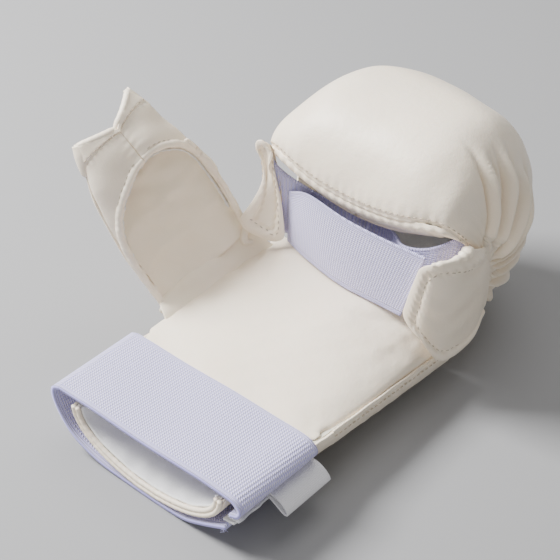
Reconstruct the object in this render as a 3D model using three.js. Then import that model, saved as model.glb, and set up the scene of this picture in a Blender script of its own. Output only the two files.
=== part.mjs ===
// A karate fist mitt with a wrist strap and a padded thumb sleeve, lying on the back of the hand.
// Millimetres. +X runs across the palm from the thumb side to the little-finger side, +Y runs from
// the wrist to the knuckles and +Z is up, out of the palm. The origin is the centre of the flat
// lower face of the hand-back shell.
import * as THREE from "three";

// Driving dimensions
const HAND = {
  half: 54, // half width at the side seam
  wristY: -79, // where the hand-back shell stops under the strap
  padWristY: -91,
  knuckleY: 20, // where the hand back meets the fist pad
  padFrontY: 17,
  seamWristZ: 28.5,
  seamSlope: -0.07,
  topWristZ: 31.4,
  topSlope: 0.115,
  wristCorner: 2.1, // superellipse powers of the gutter-shaped hand back
  knuckleCorner: 3.1,
};
const SKIN = 1.6; // coated fabric with its backing
const LINING = 1.2;
const GAP = 0.35; // clearance between sewn neighbours
const FIST = {
  halfWidth: 57.5,
  centre: { y: 38, z: 62 },
  roundness: 2.45, // superellipse power across the knuckles
  hemRoundness: 5.5,
  hemLift: 16.5, // how much the hem rises from the middle to the sides
  hemSkew: 0.5, // extra rise on the thumb side
  foam: 12,
  hemFoam: 4.2,
  hemStart: 0.955, // share of the profile where the folded hem begins
  hemReach: 0.93, // share of the half width that the hem spans
  liningGap: 1.1,
};
const CUFF = { half: 45.5, frontY: -128, backY: -80, rimZ: 27, floorZ: 2.4, corner: 2 };
const STRAP = {
  left: -57,
  right: 57,
  nearY: -130,
  farY: -81,
  topZ: 34,
  thickness: 1.9,
  foldRadius: 6,
};
const FINGER_STRAP = { width: 36, thickness: 1.5 };
const REAR_STRAP = { lowZ: 46, midZ: 72, rise: 6, thickness: 1.5, bow: 13, endY: 13, half: 44.5 };
const DIVIDER = { width: 16, thickness: 1.2 };
const TAB_THICKNESS = 2.2;
const THUMB = {
  base: new THREE.Vector3(-59.5, -27, 37),
  axis: new THREE.Vector3(-46, -19, 78).normalize(),
  along: new THREE.Vector3(0, -0.95, -0.31).normalize(),
  length: 92,
  baseHalf: 29.5,
  tipHalf: 18,
  bulge: 7,
  archApex: 60,
  front: 11,
  back: 12,
  foam: 5,
};

// Colours with the finish each material really has
const MATERIALS = {
  leather: material(0xeae2d6, 0.42),
  leatherInner: material(0xe8dcc8, 0.5),
  elastic: material(0xd2d0ea, 0.85),
  whiteLining: material(0xeeede9, 0.8),
  foam: material(0xe6e0cc, 0.95),
  tape: material(0xf0eef0, 0.6),
  hook: material(0xf4f4f4, 0.9),
};

function material(color, roughness) {
  return new THREE.MeshStandardMaterial({ color, roughness, metalness: 0 });
}

// Geometry helpers ---------------------------------------------------------------------------

/** A grid of (nu + 1) x (nv + 1) points from point(u, v), with u and v running from 0 to 1. */
function grid(nu, nv, point) {
  const rows = [];
  for (let i = 0; i <= nu; i++) {
    const row = [];
    for (let j = 0; j <= nv; j++) row.push(point(i / nu, j / nv));
    rows.push(row);
  }
  return rows;
}

/** The closed solid between two grids of the same size: both faces and the rim that joins them. */
function between(outer, inner) {
  const nu = outer.length - 1;
  const nv = outer[0].length - 1;
  const corners = [];
  const addTriangle = (a, b, c) => {
    const flat = a.distanceTo(b) < 1e-3 || b.distanceTo(c) < 1e-3 || c.distanceTo(a) < 1e-3;
    if (!flat) corners.push(a, b, c);
  };
  const addQuad = (a, b, c, d) => {
    addTriangle(a, b, c);
    addTriangle(a, c, d);
  };
  for (let i = 0; i < nu; i++) {
    for (let j = 0; j < nv; j++) {
      addQuad(outer[i][j], outer[i + 1][j], outer[i + 1][j + 1], outer[i][j + 1]);
      addQuad(inner[i][j], inner[i][j + 1], inner[i + 1][j + 1], inner[i + 1][j]);
    }
    addQuad(outer[i][0], inner[i][0], inner[i + 1][0], outer[i + 1][0]);
    addQuad(outer[i][nv], outer[i + 1][nv], inner[i + 1][nv], inner[i][nv]);
  }
  for (let j = 0; j < nv; j++) {
    addQuad(outer[0][j], outer[0][j + 1], inner[0][j + 1], inner[0][j]);
    addQuad(outer[nu][j], inner[nu][j], inner[nu][j + 1], outer[nu][j + 1]);
  }
  return facingOut(corners);
}

/** A geometry of these triangle corners, turned so that its faces point out. */
function facingOut(corners) {
  let volume = 0;
  for (let i = 0; i < corners.length; i += 3) {
    const [a, b, c] = [corners[i], corners[i + 1], corners[i + 2]];
    volume += a.dot(new THREE.Vector3().crossVectors(b, c));
  }
  const points = [];
  for (let i = 0; i < corners.length; i += 3) {
    const [a, b, c] = [corners[i], corners[i + 1], corners[i + 2]];
    points.push(a, ...(volume > 0 ? [b, c] : [c, b]));
  }
  return new THREE.BufferGeometry().setFromPoints(points);
}

/** The unit normal of surface(u, v), by finite differences kept inside the unit square. */
function normalOf(surface, u, v) {
  const h = 1e-3;
  const [u0, u1] = [Math.max(u - h, 0), Math.min(u + h, 1)];
  const [v0, v1] = [Math.max(v - h, 0), Math.min(v + h, 1)];
  const du = surface(u1, v).sub(surface(u0, v));
  const dv = surface(u, v1).sub(surface(u, v0));
  return du.cross(dv).normalize();
}

/** A sheet whose faces lie `from` and `to` millimetres along the normal of surface(u, v). */
function sheet(surface, nu, nv, from, to) {
  const offset = (distance) => (u, v) =>
    surface(u, v).addScaledVector(normalOf(surface, u, v), distance);
  return between(grid(nu, nv, offset(from)), grid(nu, nv, offset(to)));
}

/** A round cord of that radius along a curve. */
function cord(curve, radius, steps, sides = 8) {
  const section = new THREE.Shape();
  section.absarc(0, 0, radius, 0, 2 * Math.PI);
  return new THREE.ExtrudeGeometry(section, {
    extrudePath: curve,
    steps,
    curveSegments: sides,
    bevelEnabled: false,
  });
}

const clamp = THREE.MathUtils.clamp;
const lerp = THREE.MathUtils.lerp;
const at = (x, y, z) => new THREE.Vector3(x, y, z);
const group = new THREE.Group();

/** Adds one named sub-part to the glove. */
function add(name, geometry, kind) {
  const mesh = new THREE.Mesh(geometry, kind);
  mesh.name = name;
  group.add(mesh);
}

// Hand: outer shell, foam core and the cushion that the back of the hand lies on ----------------

const seamZ = (y) => HAND.seamWristZ + HAND.seamSlope * (y - HAND.wristY);
const padTopZ = (y) => HAND.topWristZ + HAND.topSlope * (y - STRAP.farY);

/** A gutter section: u runs from one rim to the other, and the middle is flat on the floor. */
function gutter(u, half, rimZ, floorZ, power) {
  const angle = (u - 0.5) * Math.PI;
  const share = 2 / power;
  const x = half * Math.sign(angle) * Math.abs(Math.sin(angle)) ** share;
  const rise = (rimZ - floorZ) * (1 - Math.abs(Math.cos(angle)) ** share);
  return { x, z: floorZ + (rise < 0.35 ? 0 : rise) };
}

/** The hand-back shell, `inset` millimetres inside its outer face. */
function handBack(u, v, inset) {
  const y = lerp(HAND.wristY, HAND.knuckleY, v);
  const corner = lerp(HAND.wristCorner, HAND.knuckleCorner, v);
  const { x, z } = gutter(u, HAND.half - inset, seamZ(y), inset, corner);
  return at(x, y, z);
}

/** The cushion's upper face, `inset` millimetres inside its cover. */
function padTop(u, v, inset) {
  const y = lerp(HAND.padWristY + inset, HAND.padFrontY - inset, v);
  const wristRound = clamp((HAND.padWristY + 22 - y) / 22, 0, 1);
  const half = (HAND.half - inset) * (1 - 0.2 * wristRound ** 2);
  const angle = (u - 0.5) * Math.PI;
  const x = half * Math.sin(angle);
  const bottom = seamZ(y) + GAP;
  const height = padTopZ(y) - inset - bottom;
  const shoulder = (1 - Math.abs(x / half) ** 6) ** 0.45;
  return at(x, y, bottom + height * shoulder * (1 - 0.5 * wristRound ** 4));
}

function addHand() {
  const columns = 16;
  const rows = 6;
  add(
    "hand_back_shell",
    between(
      grid(columns, rows, (u, v) => handBack(u, v, 0)),
      grid(columns, rows, (u, v) => handBack(u, v, SKIN)),
    ),
    MATERIALS.leather,
  );
  const coreInset = SKIN + GAP;
  const coreTop = (u, v) => {
    const low = handBack(u, v, coreInset);
    return at(low.x, low.y, seamZ(low.y) - 0.05);
  };
  add(
    "hand_foam_core",
    between(
      grid(columns, rows, (u, v) => {
        const p = handBack(u, v, coreInset);
        return at(p.x, p.y, Math.min(p.z, seamZ(p.y) - 1));
      }),
      grid(columns, rows, coreTop),
    ),
    MATERIALS.foam,
  );
  add(
    "hand_pad_cover",
    between(
      grid(columns, 8, (u, v) => padTop(u, v, 0)),
      grid(columns, 8, (u, v) => padTop(u, v, SKIN)),
    ),
    MATERIALS.leather,
  );
  const foamInset = SKIN + GAP;
  add(
    "hand_pad_foam",
    between(
      grid(columns, 8, (u, v) => padTop(u, v, foamInset)),
      grid(columns, 8, (u, v) => {
        const p = padTop(u, v, foamInset);
        return at(p.x, p.y, seamZ(p.y) + GAP - 0.01);
      }),
    ),
    MATERIALS.foam,
  );
}

// Fist: skin, foam, lining and hem of the curved pad over the knuckles and fingers --------------

/** The pad's outer profile in the Y-Z plane, from the hand back round the knuckles to the hem. */
const FIST_PROFILE = new THREE.CatmullRomCurve3(
  [
    at(0, 20.8, 0),
    at(0, 46, 3),
    at(0, 74, 11),
    at(0, 97, 28),
    at(0, 109, 54),
    at(0, 108, 84),
    at(0, 92, 108),
    at(0, 66, 121.5),
    at(0, 38, 121),
    at(0, 17, 110),
    at(0, 6.5, 95),
    at(0, 6, 84),
    at(0, 12, 76),
  ],
  false,
  "centripetal",
);

/** A point of the fist pad at width share s (-1 to 1), profile share t, `inset` inside the skin. */
function fist(s, t, inset) {
  const p = FIST_PROFILE.getPointAt(t);
  const tangent = FIST_PROFILE.getTangentAt(t);
  const y = p.y - inset * tangent.z;
  const z = p.z + inset * tangent.y;
  const power = lerp(FIST.roundness, FIST.hemRoundness, t ** 4);
  const scale = (1 - Math.abs(s) ** power) ** (1 / power);
  const lift = (FIST.hemLift * s * s - FIST.hemSkew * s) * t ** 4 * scale;
  return at(
    (FIST.halfWidth - inset) * s,
    FIST.centre.y + scale * (y - FIST.centre.y),
    FIST.centre.z + scale * (z - FIST.centre.z) + lift,
  );
}

/** The fist pad between two depths, each a function of the profile share. */
function fistLayer(from, to, t0, t1, depth0, depth1, reach = 1) {
  const widthShare = (u) => reach * Math.sin((u - 0.5) * Math.PI);
  const face = (depth) => (u, v) => {
    const t = lerp(t0, t1, v);
    return fist(widthShare(u), t, depth(t));
  };
  return between(grid(from, to, face(depth0)), grid(from, to, face(depth1)));
}

const fistFoamDepth = (t) => SKIN + GAP + lerp(FIST.foam, FIST.hemFoam, t ** 3);

function addFist() {
  const [columns, rows] = [16, 15];
  const end = FIST.hemStart - 0.006;
  const liningEnd = FIST.hemStart - 0.014;
  add("fist_shell", fistLayer(columns, rows, 0, end, () => 0, () => SKIN), MATERIALS.leather);
  add(
    "fist_foam",
    fistLayer(columns, rows, 0.004, end, () => SKIN + GAP, fistFoamDepth),
    MATERIALS.foam,
  );
  add(
    "fist_lining",
    fistLayer(
      columns,
      rows,
      0.004,
      liningEnd,
      (t) => fistFoamDepth(t) + FIST.liningGap,
      (t) => fistFoamDepth(t) + FIST.liningGap + LINING,
    ),
    MATERIALS.whiteLining,
  );
  add(
    "fist_hem",
    fistLayer(
      columns,
      2,
      FIST.hemStart,
      1,
      () => 0,
      (t) => fistFoamDepth(t) + FIST.liningGap + LINING,
      FIST.hemReach,
    ),
    MATERIALS.leather,
  );
}

// Side tabs and finger straps -------------------------------------------------------------------

/** A smooth wall through rows of points, listed from the bottom row to the top row. */
function wall(rows, thickness, nu, nv) {
  const curves = rows.map((row) => new THREE.CatmullRomCurve3(row, false, "centripetal"));
  const surface = (u, v) => {
    const column = curves.map((curve) => curve.getPoint(u));
    return new THREE.CatmullRomCurve3(column, false, "centripetal").getPoint(v);
  };
  return sheet(surface, nu, nv, -thickness / 2, thickness / 2);
}

function addTabs() {
  const thumbSide = [
    [at(-39.8, 7.4, 44.6), at(-47, 3.4, 46), at(-55, -1.2, 49), at(-60.5, -3.6, 52)],
    [at(-41, 8.6, 69), at(-44, 8, 71), at(-47, 7.4, 73), at(-50, 7, 75)],
    [at(-45, 6.4, 92), at(-48, 5.8, 97), at(-52, 5.4, 96), at(-54.5, 5.4, 91)],
  ];
  add("thumb_side_tab", wall(thumbSide, TAB_THICKNESS, 8, 8), MATERIALS.leather);
  const outerSide = [
    [at(39.5, -2.2, 44.2), at(49.6, -0.6, 38), at(56.6, 4.5, 24.4), at(58.8, 20, 23)],
    [at(44, -1, 62), at(53, 0.4, 56), at(58.4, 9, 50), at(60, 26, 48)],
    [at(49, -0.4, 80.5), at(55, 1.8, 81), at(59.4, 10, 83), at(60, 22, 81)],
  ];
  add("outer_side_tab", wall(outerSide, TAB_THICKNESS, 10, 8), MATERIALS.leather);
}

function addFingerStraps() {
  const low = [at(-39.4, 9.8, 43.6), at(-23, 4.6, 43.4), at(4, 0.4, 43.2), at(37.5, 0.3, 43.4)];
  const high = low.map((p) => at(p.x, p.y + 0.9, p.z + FINGER_STRAP.width));
  high[0] = at(-39.6, 11, 71);
  high[3] = at(47.5, 2.2, 79.5);
  add("finger_strap_front", wall([low, high], FINGER_STRAP.thickness, 14, 1), MATERIALS.elastic);

  const rear = (u, v) => {
    const share = 2 * u - 1;
    const y = REAR_STRAP.endY + REAR_STRAP.bow * (1 - share ** 2);
    const high = REAR_STRAP.midZ + REAR_STRAP.rise * share ** 4;
    return at(REAR_STRAP.half * share, y, lerp(REAR_STRAP.lowZ, high, v));
  };
  const half = REAR_STRAP.thickness / 2;
  add("finger_strap_rear", sheet(rear, 12, 2, -half, half), MATERIALS.elastic);

  const divider = (u, v) => {
    const y = lerp(4.5, 21, u);
    const lean = 6 * Math.sin(Math.PI * u);
    return at(8 + 10 * u + lean, y, 62 + DIVIDER.width * (v - 0.5) - 6 * u);
  };
  add(
    "finger_divider_strap",
    sheet(divider, 6, 1, -DIVIDER.thickness / 2, DIVIDER.thickness / 2),
    MATERIALS.elastic,
  );
}

// Wrist: cuff gutter, its lining and binding, the strap, its closure and the pull tab -----------

function cuffPoint(u, v, inset) {
  const y = lerp(CUFF.frontY, CUFF.backY, v);
  const { x, z } = gutter(u, CUFF.half - inset, CUFF.rimZ, CUFF.floorZ + inset, CUFF.corner);
  return at(x, y, z);
}

function cuffLayer(from, to) {
  return between(
    grid(14, 2, (u, v) => cuffPoint(u, v, from)),
    grid(14, 2, (u, v) => cuffPoint(u, v, to)),
  );
}

/** The elastic's bottom run: over the left fold and under the cuff to its free end. */
const STRAP_RUN = new THREE.CatmullRomCurve3(
  [
    at(-52.2, 0, 33.05),
    at(-56.6, 0, 30.8),
    at(-57.6, 0, 26.5),
    at(-55, 0, 19),
    at(-47.5, 0, 9.3),
    at(-33, 0, 3),
    at(-14, 0, 1.35),
    at(14, 0, 1.35),
    at(24, 0, 2.8),
    at(35, 0, 7.6),
    at(47.5, 0, 14.2),
  ],
  false,
  "centripetal",
);

/** The moving top run: flat over the cushion, then folded down and back at the right side. */
const STRAP_TOP = new THREE.CatmullRomCurve3(
  [
    at(-51.2, 0, 33.05),
    at(-20, 0, 33.05),
    at(20, 0, 33.05),
    at(46, 0, 33.05),
    at(52.5, 0, 32),
    at(55.6, 0, 28.8),
    at(54.2, 0, 25.2),
    at(50, 0, 23.2),
  ],
  false,
  "centripetal",
);

function strapLayer(curve, steps, thickness) {
  const surface = (u, v) => {
    const p = curve.getPointAt(u);
    return at(p.x, lerp(STRAP.nearY, STRAP.farY, v), p.z);
  };
  return sheet(surface, steps, 1, -thickness / 2, thickness / 2);
}

/** A flat patch of hook or loop tape that lies along the strap's free end. */
function closurePatch(x0, x1, lift0, lift1, nearY, farY) {
  const run = (x) => 15.6 + 0.12 * (x - 47.5);
  const face = (lift) => (u, v) => {
    const x = lerp(x0, x1, u);
    return at(x, lerp(nearY, farY, v), run(x) + lift);
  };
  return between(grid(1, 1, face(lift0)), grid(1, 1, face(lift1)));
}

/** The folded tape loop that hangs out of the closure, drooping as it goes. */
function pullTab() {
  const run = new THREE.CatmullRomCurve3(
    [at(46.4, 0, 20.6), at(52, 0, 20.7), at(58, 0, 18.4), at(61.4, 0, 13.4)],
    false,
    "centripetal",
  );
  const surface = (u, v) => {
    const p = run.getPointAt(u);
    return at(p.x, lerp(-108, -80, v), p.z);
  };
  return sheet(surface, 6, 1, -1.1, 1.1);
}

function addWrist() {
  add("cuff_shell", cuffLayer(0, SKIN), MATERIALS.leather);
  add("cuff_padding", cuffLayer(SKIN + GAP, 3.6), MATERIALS.foam);
  add("cuff_lining", cuffLayer(3.6 + GAP, 3.6 + GAP + LINING), MATERIALS.whiteLining);
  const rim = (inset) => {
    const points = grid(18, 0, (u) => cuffPoint(u, 0, inset)).map(([p]) => p);
    points.forEach((p) => (p.y = CUFF.frontY - 1.8));
    return new THREE.CatmullRomCurve3(points);
  };
  add("cuff_binding", cord(rim(2.6), 1.4, 24), MATERIALS.leather);
  add("wrist_strap_base", strapLayer(STRAP_RUN, 26, STRAP.thickness), MATERIALS.elastic);
  add("wrist_strap_top", strapLayer(STRAP_TOP, 20, STRAP.thickness), MATERIALS.elastic);
  add("closure_loop_patch", closurePatch(44.5, 50.5, 0.5, 1.5, -128, -82), MATERIALS.hook);
  add("closure_hook_patch", closurePatch(46, 52.5, 1.85, 2.85, -127, -79.4), MATERIALS.hook);
  add("pull_tab", pullTab(), MATERIALS.tape);
}

// Thumb: a padded back, a lining panel, and two front panels that close the sleeve's end ---------

const THUMB_OUT = new THREE.Vector3().crossVectors(THUMB.axis, THUMB.along).normalize();
const THUMB_ACROSS = new THREE.Vector3().crossVectors(THUMB_OUT, THUMB.axis).normalize();

/** A point of the thumb sleeve from its across, length and depth distances. */
function thumbPoint(across, length, depth) {
  return THUMB.base
    .clone()
    .addScaledVector(THUMB_ACROSS, across)
    .addScaledVector(THUMB.axis, length)
    .addScaledVector(THUMB_OUT, depth);
}

const thumbHalf = (q) => {
  const share = q / THUMB.length;
  return lerp(THUMB.baseHalf, THUMB.tipHalf, share) + THUMB.bulge * Math.sin(Math.PI * share);
};
/** How far the sleeve stands off its middle surface: thin at the seam, full in the middle. */
const thumbFull = (q) => {
  const share = q / THUMB.length;
  return 0.42 + 0.58 * Math.sin(Math.PI * clamp(share * 0.82 + 0.08, 0, 1)) ** 0.8;
};
/** The sleeve's mouth: its height over the base at an across share p of either front panel. */
const archLength = (side, p) =>
  side < 0 ? THUMB.archApex - 52 * p ** 4 : THUMB.archApex - 34 * p ** 1.7;

/** The back half of the sleeve, `inset` inside its outer skin. */
function thumbBack(u, v, inset) {
  const angle = (u - 0.5) * Math.PI * 0.94;
  const q = lerp(0, THUMB.length, v);
  const half = thumbHalf(q) - inset;
  const depth = Math.max(THUMB.back * thumbFull(q), 7.5) - inset;
  return thumbPoint(half * Math.sin(angle), q, -depth * Math.cos(angle));
}

/** A front panel, from the centre seam (u = 0) to the side (u = 1) and from the arch to the tip. */
function thumbFront(side, u, v, inset) {
  const p = Math.sin(u * Math.PI * 0.47);
  const q = lerp(archLength(side, p), THUMB.length - 5 * (1 - u) ** 2, v);
  const half = thumbHalf(q) - inset;
  const rise = THUMB.front * thumbFull(q) - inset;
  const valley = 1 - 0.22 * Math.exp(-((u / 0.16) ** 2));
  const across = side * Math.max(half * p, 0.25);
  return thumbPoint(across, q, 0.6 + rise * Math.cos(Math.asin(p)) * valley);
}

function addThumb() {
  const [columns, rows] = [12, 9];
  const layer = (from, to) =>
    between(
      grid(columns, rows, (u, v) => thumbBack(u, v, from)),
      grid(columns, rows, (u, v) => thumbBack(u, v, to)),
    );
  add("thumb_back_shell", layer(0, SKIN), MATERIALS.leather);
  add("thumb_foam", layer(SKIN + GAP, SKIN + GAP + THUMB.foam * 0.8), MATERIALS.foam);
  const liningFrom = SKIN + 2 * GAP + THUMB.foam * 0.8;
  add("thumb_inner_panel", layer(liningFrom, liningFrom + LINING), MATERIALS.leatherInner);
  for (const [name, side] of [
    ["thumb_front_panel_palm", -1],
    ["thumb_front_panel_wrist", 1],
  ]) {
    add(
      name,
      between(
        grid(8, 8, (u, v) => thumbFront(side, u, v, 0)),
        grid(8, 8, (u, v) => thumbFront(side, u, v, 2.2)),
      ),
      MATERIALS.leather,
    );
  }
  for (const [name, side] of [
    ["thumb_edge_roll_palm", -1],
    ["thumb_edge_roll_wrist", 1],
  ]) {
    const points = grid(12, 0, (share) => {
      const u = 0.06 + 0.82 * share;
      const edge = thumbFront(side, u, 0, 1.1);
      const run = thumbFront(side, u + 0.02, 0, 1.1).sub(edge).normalize();
      const away = edge.clone().sub(thumbFront(side, u, 0.05, 1.1));
      away.addScaledVector(run, -away.dot(run)).normalize();
      return edge.addScaledVector(away, 1.5 + GAP);
    }).map(([p]) => p);
    add(name, cord(new THREE.CatmullRomCurve3(points), 1.5, 22), MATERIALS.leather);
  }
}

/** The soft web that joins the thumb sleeve to the side of the hand. */
function addThumbWeb() {
  const rows = [
    [at(-54.9, -57, 33.2), at(-55.1, -30, 34), at(-55.1, -5, 35)],
    [at(-57.2, -56.5, 35.2), at(-57.6, -30, 37.4), at(-57.2, -4, 42)],
  ];
  add("thumb_web", wall(rows, 1.4, 8, 2), MATERIALS.leatherInner);
}

addHand();
addFist();
addTabs();
addFingerStraps();
addWrist();
addThumb();
addThumbWeb();

export default group;
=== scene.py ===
"""A left-hand karate fist mitt: soft skins, elastics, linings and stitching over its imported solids.

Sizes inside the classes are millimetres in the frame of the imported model: +X runs from the thumb side
to the little-finger side, +Y from the wrist to the knuckles, +Z up out of the palm.
"""

import logging
import math
from dataclasses import dataclass, field
from enum import Enum
from typing import Callable, Sequence

import bmesh
import bpy
import numpy as np
from mathutils import Matrix, Vector


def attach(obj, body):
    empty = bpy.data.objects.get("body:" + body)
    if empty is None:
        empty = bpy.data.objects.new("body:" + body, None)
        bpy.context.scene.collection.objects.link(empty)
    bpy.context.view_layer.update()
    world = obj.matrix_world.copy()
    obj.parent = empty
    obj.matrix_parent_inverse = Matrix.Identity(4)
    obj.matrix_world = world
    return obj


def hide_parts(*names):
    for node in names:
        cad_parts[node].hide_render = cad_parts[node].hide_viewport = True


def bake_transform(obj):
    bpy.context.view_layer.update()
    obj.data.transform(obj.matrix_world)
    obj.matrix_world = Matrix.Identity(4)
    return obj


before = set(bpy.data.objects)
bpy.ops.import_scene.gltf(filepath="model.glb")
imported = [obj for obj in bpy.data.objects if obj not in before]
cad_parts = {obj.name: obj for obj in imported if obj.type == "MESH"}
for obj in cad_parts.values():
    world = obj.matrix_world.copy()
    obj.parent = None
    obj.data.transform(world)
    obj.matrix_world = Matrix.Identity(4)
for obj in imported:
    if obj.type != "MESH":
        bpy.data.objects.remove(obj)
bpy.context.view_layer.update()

LOG = logging.getLogger("mitt")
MM = 0.001
Array = np.ndarray
Surface = Callable[[Array, Array], Array]
Height = Callable[[Array, Array], Array]


class Body(Enum):
    """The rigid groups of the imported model."""

    HAND = "hand"
    FIST = "fist"
    THUMB = "thumb"
    STRAP = "strap"


class Slot(Enum):
    """The record's material slots."""

    LEATHER = "leather"
    LEATHER_INNER = "leather_inner"
    ELASTIC = "elastic"
    WHITE_LINING = "white_lining"
    TAPE = "tape"
    HOOK = "hook"


# Small mathematics ------------------------------------------------------------------------------


def ease(low: float, high: float, value: Array) -> Array:
    """A smooth step from 0 at `low` to 1 at `high`.

    Args:
        low: Where the step starts.
        high: Where the step ends; it may be below `low`.
        value: The values to ease.

    Returns:
        The eased values, from 0 to 1.
    """
    share = np.clip((np.asarray(value, float) - low) / (high - low), 0, 1)
    return share * share * (3 - 2 * share)


def bump(centre: float, width: float, value: Array) -> Array:
    """A bell curve of height 1."""
    return np.exp(-(((np.asarray(value, float) - centre) / width) ** 2))


def wander(points: Array, size: float, seed: int) -> Array:
    """Gentle unevenness that repeats the same way each time.

    Args:
        points: Places in millimetres, in rows of three.
        size: The typical distance between swells, in millimetres.
        seed: Which unevenness to use.

    Returns:
        One value per place, mostly between -1 and 1.
    """
    rng = np.random.RandomState(seed)
    total = np.zeros(points.shape[:-1])
    for _ in range(7):
        direction = rng.normal(size=3)
        direction /= np.linalg.norm(direction)
        pitch = size * rng.uniform(0.7, 1.5)
        total += np.sin(points @ direction * 2 * math.pi / pitch + rng.uniform(0, 6.28))
    return total / 2.65


class Path:
    """A smooth line through a few points, walked by its share of length."""

    def __init__(self, points: Sequence[Sequence[float]], samples: int = 360) -> None:
        """Fits the line.

        Args:
            points: The places that the line passes, in millimetres.
            samples: How finely the line is kept.
        """
        knots = np.asarray(points, float)
        gaps = np.sqrt(np.linalg.norm(np.diff(knots, axis=0), axis=1))
        rates = np.diff(knots, axis=0) / gaps[:, None]
        slopes = np.empty_like(knots)
        slopes[0], slopes[-1] = rates[0], rates[-1]
        before, after = gaps[:-1, None], gaps[1:, None]
        slopes[1:-1] = (rates[:-1] * after + rates[1:] * before) / (before + after)
        times = np.concatenate([[0], np.cumsum(gaps)])
        query = np.linspace(0, times[-1], samples)
        cell = np.clip(np.searchsorted(times, query, "right") - 1, 0, len(gaps) - 1)
        gap = gaps[cell][:, None]
        local = (query - times[cell])[:, None] / gap
        line = (
            knots[cell] * (2 * local**3 - 3 * local**2 + 1)
            + slopes[cell] * gap * (local**3 - 2 * local**2 + local)
            + knots[cell + 1] * (3 * local**2 - 2 * local**3)
            + slopes[cell + 1] * gap * (local**3 - local**2)
        )
        steps = np.linalg.norm(np.diff(line, axis=0), axis=1)
        self.distance = np.concatenate([[0], np.cumsum(steps)])
        self.length = float(self.distance[-1])
        self.line = line

    def at(self, share: Array) -> Array:
        """The places at those shares of the length, in rows of three."""
        reach = np.clip(share, 0, 1) * self.length
        return np.stack([np.interp(reach, self.distance, c) for c in self.line.T], axis=-1)

    def direction(self, share: Array) -> Array:
        """The unit directions at those shares of the length."""
        step = self.at(np.asarray(share) + 0.002) - self.at(np.asarray(share) - 0.002)
        return step / np.maximum(np.linalg.norm(step, axis=-1, keepdims=True), 1e-9)


def normals_of(surface: Surface, u: Array, v: Array) -> Array:
    """The unit normals of a surface, by small differences.

    Args:
        surface: The surface, over 0 to 1 both ways.
        u: Shares along the first way.
        v: Shares along the second way.

    Returns:
        One unit normal per place.
    """
    h = 2e-3
    along = surface(np.minimum(u + h, 1), v) - surface(np.maximum(u - h, 0), v)
    across = surface(u, np.minimum(v + h, 1)) - surface(u, np.maximum(v - h, 0))
    normal = np.cross(along, across)
    return normal / np.maximum(np.linalg.norm(normal, axis=-1, keepdims=True), 1e-9)


def lifted(surface: Surface, height: Height, outward: float = 1.0) -> Surface:
    """A surface raised along its own normals.

    Args:
        surface: The surface to raise.
        height: How far, in millimetres, at each place.
        outward: 1 or -1, so that a positive height goes out of the object.

    Returns:
        The raised surface.
    """

    def raised(u: Array, v: Array) -> Array:
        """The raised places."""
        lift = (height(u, v) * outward)[..., None]
        return surface(u, v) + normals_of(surface, u, v) * lift

    return raised


def ruled(rows: Sequence[Path]) -> Surface:
    """A surface that passes through two or three lines, from the first to the last.

    Args:
        rows: The lines.

    Returns:
        The surface; straight across between two lines, and one smooth curve through three.
    """

    def point(u: Array, v: Array) -> Array:
        """The places on the surface."""
        lines = np.stack([row.at(u) for row in rows])
        if len(rows) == 2:
            return lines[0] + (lines[1] - lines[0]) * v[..., None]
        return quadratic(v[..., None], lines)

    return point


def rounded(u: Array, v: Array, wide: float, tall: float, radius: float,
            corners: str) -> tuple[Array, Array]:
    """Pulls a sheet's square corners in to round ones.

    Args:
        u: Shares of the width.
        v: Shares of the height.
        wide: The width in millimetres.
        tall: The height in millimetres.
        radius: The corners' radius in millimetres.
        corners: Which corners, as pairs such as "00 10": the u end, then the v end.

    Returns:
        The new shares.
    """
    u, v = u.copy(), v.copy()
    for corner in corners.split():
        right, top = corner[0] == "1", corner[1] == "1"
        x = (1 - u if right else u) * wide
        y = (1 - v if top else v) * tall
        inside = (x < radius) & (y < radius)
        a, b = 1 - x / radius, 1 - y / radius
        shrink = np.maximum(a, b) / np.maximum(np.hypot(a, b), 1e-9)
        x = np.where(inside, radius * (1 - a * shrink), x) / wide
        y = np.where(inside, radius * (1 - b * shrink), y) / tall
        u, v = (1 - x if right else x), (1 - y if top else y)
    return u, v


def quadratic(share: Array, lines: Array) -> Array:
    """The curve through three places.

    Args:
        share: The share of the way from the first to the last.
        lines: The first, middle and last places.

    Returns:
        The places on the curve.
    """
    first, middle, last = lines
    a = 2 * first + 2 * last - 4 * middle
    b = 4 * middle - 3 * first - last
    return first + b * share + a * share**2


def read_along(rows: Array) -> Callable[[Array], Array]:
    """Reads directions that are kept at even steps along a line.

    Args:
        rows: The directions, in rows of three.

    Returns:
        The directions as a function of the share of the line.
    """
    steps = np.arange(len(rows))

    def read(share: Array) -> Array:
        """The directions at those shares."""
        index = share * (len(rows) - 1)
        return np.stack([np.interp(index, steps, column) for column in rows.T], axis=-1)

    return read


def beaded(size: float, swing: float = 0.0, turns: float = 0.0) -> Callable[[Array], Array]:
    """A cord's radius with small regular swells.

    Args:
        size: The middle radius in millimetres.
        swing: How much the radius swells and shrinks.
        turns: How fast it does so, in radians over the whole cord.

    Returns:
        The radius as a function of the share of the length.
    """

    def radius(share: Array) -> Array:
        """The radius at those shares."""
        return size + swing * np.sin(share * turns)

    return radius


# Mesh making ------------------------------------------------------------------------------------


@dataclass(frozen=True)
class Grid:
    """How finely a sheet is divided, and the real size of its pattern map."""

    columns: int
    rows: int
    length: float = 100.0
    width: float = 100.0


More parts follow.
